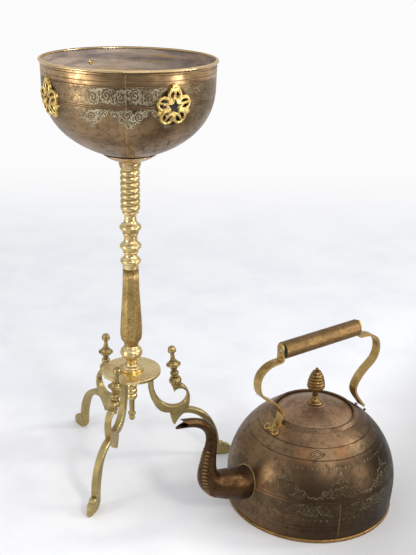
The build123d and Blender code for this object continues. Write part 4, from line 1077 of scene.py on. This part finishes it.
def buildBackWashers():
    # rings under the plates' upper rivets, inside the bowl
    look = washerShape
    mesh = bmesh.new()
    for plate in plates["turns"]:
        path = []
        for k in range(look["points"]):
            t = 2 * math.pi * k / look["points"]
            x, y = look["ring"] * math.cos(t), look["rivet"] + look["ring"] * math.sin(t)
            spot, normal = wallSpot(math.radians(plate), x, y, -bowlShape["wall"])
            path.append((spot, -normal))
        layRibbon(mesh, path, look["width"], look["rise"], True)
    addPiece("backWashers", mesh, finish["rosetteBrass"], "stand")


buildKnobFoot()
buildBackWashers()
buildFeathers()
buildRootSeam()
print("spout dressed")


floorLook = {
    "size": 30.0, "rough": 0.7, "color": (0.84, 0.84, 0.845, 1), "worn": (0.77, 0.77, 0.79, 1),
    "side": (0.45, 0.445, 0.44, 1), "shadeFrom": (0.08, 0.40, 0.0, 0.9), "slant": 0.55,
    "farShade": (0.16, 0.15, 0.14, 1), "farShadeFrom": (0.42, 0.85),
    "backdrop": (0.97, 0.97, 0.975, 1), "fade": (0.7, 2.4),
}


def makeFloor():
    look = floorLook
    half = look["size"] / 2
    mesh = bpy.data.meshes.new("floor")
    corners = [(-half, -half, 0), (half, -half, 0), (half, half, 0), (-half, half, 0)]
    mesh.from_pydata(corners, [], [(0, 1, 2, 3)])
    obj = bpy.data.objects.new("floor", mesh)
    scene.collection.objects.link(obj)
    material = bpy.data.materials.new("paleFloor")
    material.use_nodes = True
    w = Wiring(material.node_tree)
    shader = material.node_tree.nodes["Principled BSDF"]
    out = material.node_tree.nodes["Material Output"]
    spot = w.node("TexCoord").outputs["Object"]
    grain = w.noise(spot, 5.0, 5.0, 0.6)
    tint = w.mix(w.step(grain, 0.35, 0.7), look["color"], look["worn"])
    parts = w.node("SeparateXYZ")
    w.put(parts.inputs[0], spot)
    # painted shade: the floor is painted darker to the right, along a slanting line, and near black further
    # right, for the dim side of the room
    aside = w.less(parts.outputs[0], w.times(parts.outputs[1], look["slant"]))
    tint = w.mix(w.step(aside, *look["shadeFrom"]), tint, look["side"])
    tint = w.mix(w.step(aside, *look["farShadeFrom"]), tint, look["farShade"])
    w.put(shader.inputs["Base Color"], tint)
    shader.inputs["Roughness"].default_value = look["rough"]
    addBump(w, shader, w.noise(spot, 60.0, 5.0, 0.6), 0.15, 0.001)
    # far off, the floor runs into a white backdrop for eye, mirror and glass
    away = w.step(parts.outputs[1], *look["fade"])
    ray = w.node("LightPath")
    seen = w.most(ray.outputs["Is Camera Ray"], ray.outputs["Is Glossy Ray"])
    seen = w.most(seen, ray.outputs["Is Transmission Ray"])
    white = w.node("Emission")
    white.inputs["Color"].default_value = look["backdrop"]
    mixed = w.node("MixShader")
    w.put(mixed.inputs[0], w.times(away, seen))
    w.put(mixed.inputs[1], shader.outputs[0])
    w.put(mixed.inputs[2], white.outputs[0])
    w.put(out.inputs["Surface"], mixed.outputs[0])
    mesh.materials.append(material)


makeFloor()

lampSettings = {
    "frontRight": {"place": (0.95, -1.75, 1.55), "aim": (-0.1, 0.0, 0.3), "width": 0.35, "height": 0.35,
                   "power": 17.0, "color": (1.0, 0.97, 0.93)},
    "right": {"place": (2.0, 0.15, 1.45), "aim": (0.0, 0.0, 0.2), "width": 0.4, "height": 0.4, "power": 15.0,
              "color": (1.0, 0.97, 0.93)},
    "lowRight": {"place": (1.05, -0.46, 0.36), "aim": (-0.12, 0.0, 0.72), "width": 0.30, "height": 0.55,
                 "power": 5.0, "color": (1.0, 0.96, 0.90)},
    "lowWindow": {"place": (-1.45, -0.72, 0.50), "aim": (-0.17, 0.05, 0.62), "width": 0.42, "height": 0.24,
                  "power": 7.0, "color": (1.0, 0.93, 0.82)},
}


def addLamp(name, settings):
    data = bpy.data.lights.new(name, "AREA")
    data.shape = "RECTANGLE"
    data.size, data.size_y = settings["width"], settings["height"]
    data.energy = settings["power"]
    data.color = settings["color"]
    lamp = bpy.data.objects.new(name, data)
    lamp.location = settings["place"]
    way = Vector(settings["aim"]) - Vector(settings["place"])
    lamp.rotation_euler = way.to_track_quat("-Z", "Y").to_euler()
    scene.collection.objects.link(lamp)


for name, settings in lampSettings.items():
    addLamp(name, settings)


skyLook = {"low": (0.17, 0.165, 0.165, 1), "high": (0.92, 0.955, 1.02, 1), "wall": (0.75, 0.75, 0.76, 1)}


def makeSky():
    # soft room light, bright overhead and dim low down
    world = bpy.data.worlds.new("room")
    scene.world = world
    world.use_nodes = True
    w = Wiring(world.node_tree)
    back = world.node_tree.nodes["Background"]
    way = w.node("TexCoord").outputs["Generated"]
    parts = w.node("SeparateXYZ")
    w.put(parts.inputs[0], way)
    up = w.step(parts.outputs[2], 0.05, 0.62)
    color = w.mix(up, skyLook["low"], skyLook["high"])
    # the wall behind is pale, the side that the eye looks from is dark
    behind = w.step(parts.outputs[1], 0.15, 0.7)
    color = w.mix(w.times(behind, 0.75), color, skyLook["wall"])
    w.put(back.inputs["Color"], color)
    back.inputs["Strength"].default_value = 1.0


makeSky()
print("lights and floor set")


camera = {"place": (0.13755 + standX, -1.50021 + standY, 0.9655), "pitch": 21.2, "roll": 1.43,
          "lens": 58.56, "film": 36.0, "reach": 60.0}


def addCamera():
    # looks along +Y and down by the pitch; lens and film in millimetres, film along the longer side
    pitch, roll = math.radians(camera["pitch"]), math.radians(camera["roll"])
    forward = Vector((0, math.cos(pitch), -math.sin(pitch)))
    right = Vector((1, 0, 0))
    up = right.cross(forward)
    tiltedRight = right * math.cos(roll) + up * math.sin(roll)
    tiltedUp = up * math.cos(roll) - right * math.sin(roll)
    turn = Matrix((tiltedRight, tiltedUp, -forward)).transposed().to_4x4()
    data = bpy.data.cameras.new("camera")
    data.lens = camera["lens"]
    data.sensor_width = camera["film"]
    data.clip_end = camera["reach"]
    eye = bpy.data.objects.new("camera", data)
    eye.matrix_world = Matrix.Translation(camera["place"]) @ turn
    scene.collection.objects.link(eye)
    scene.camera = eye


addCamera()

print("scene ready")
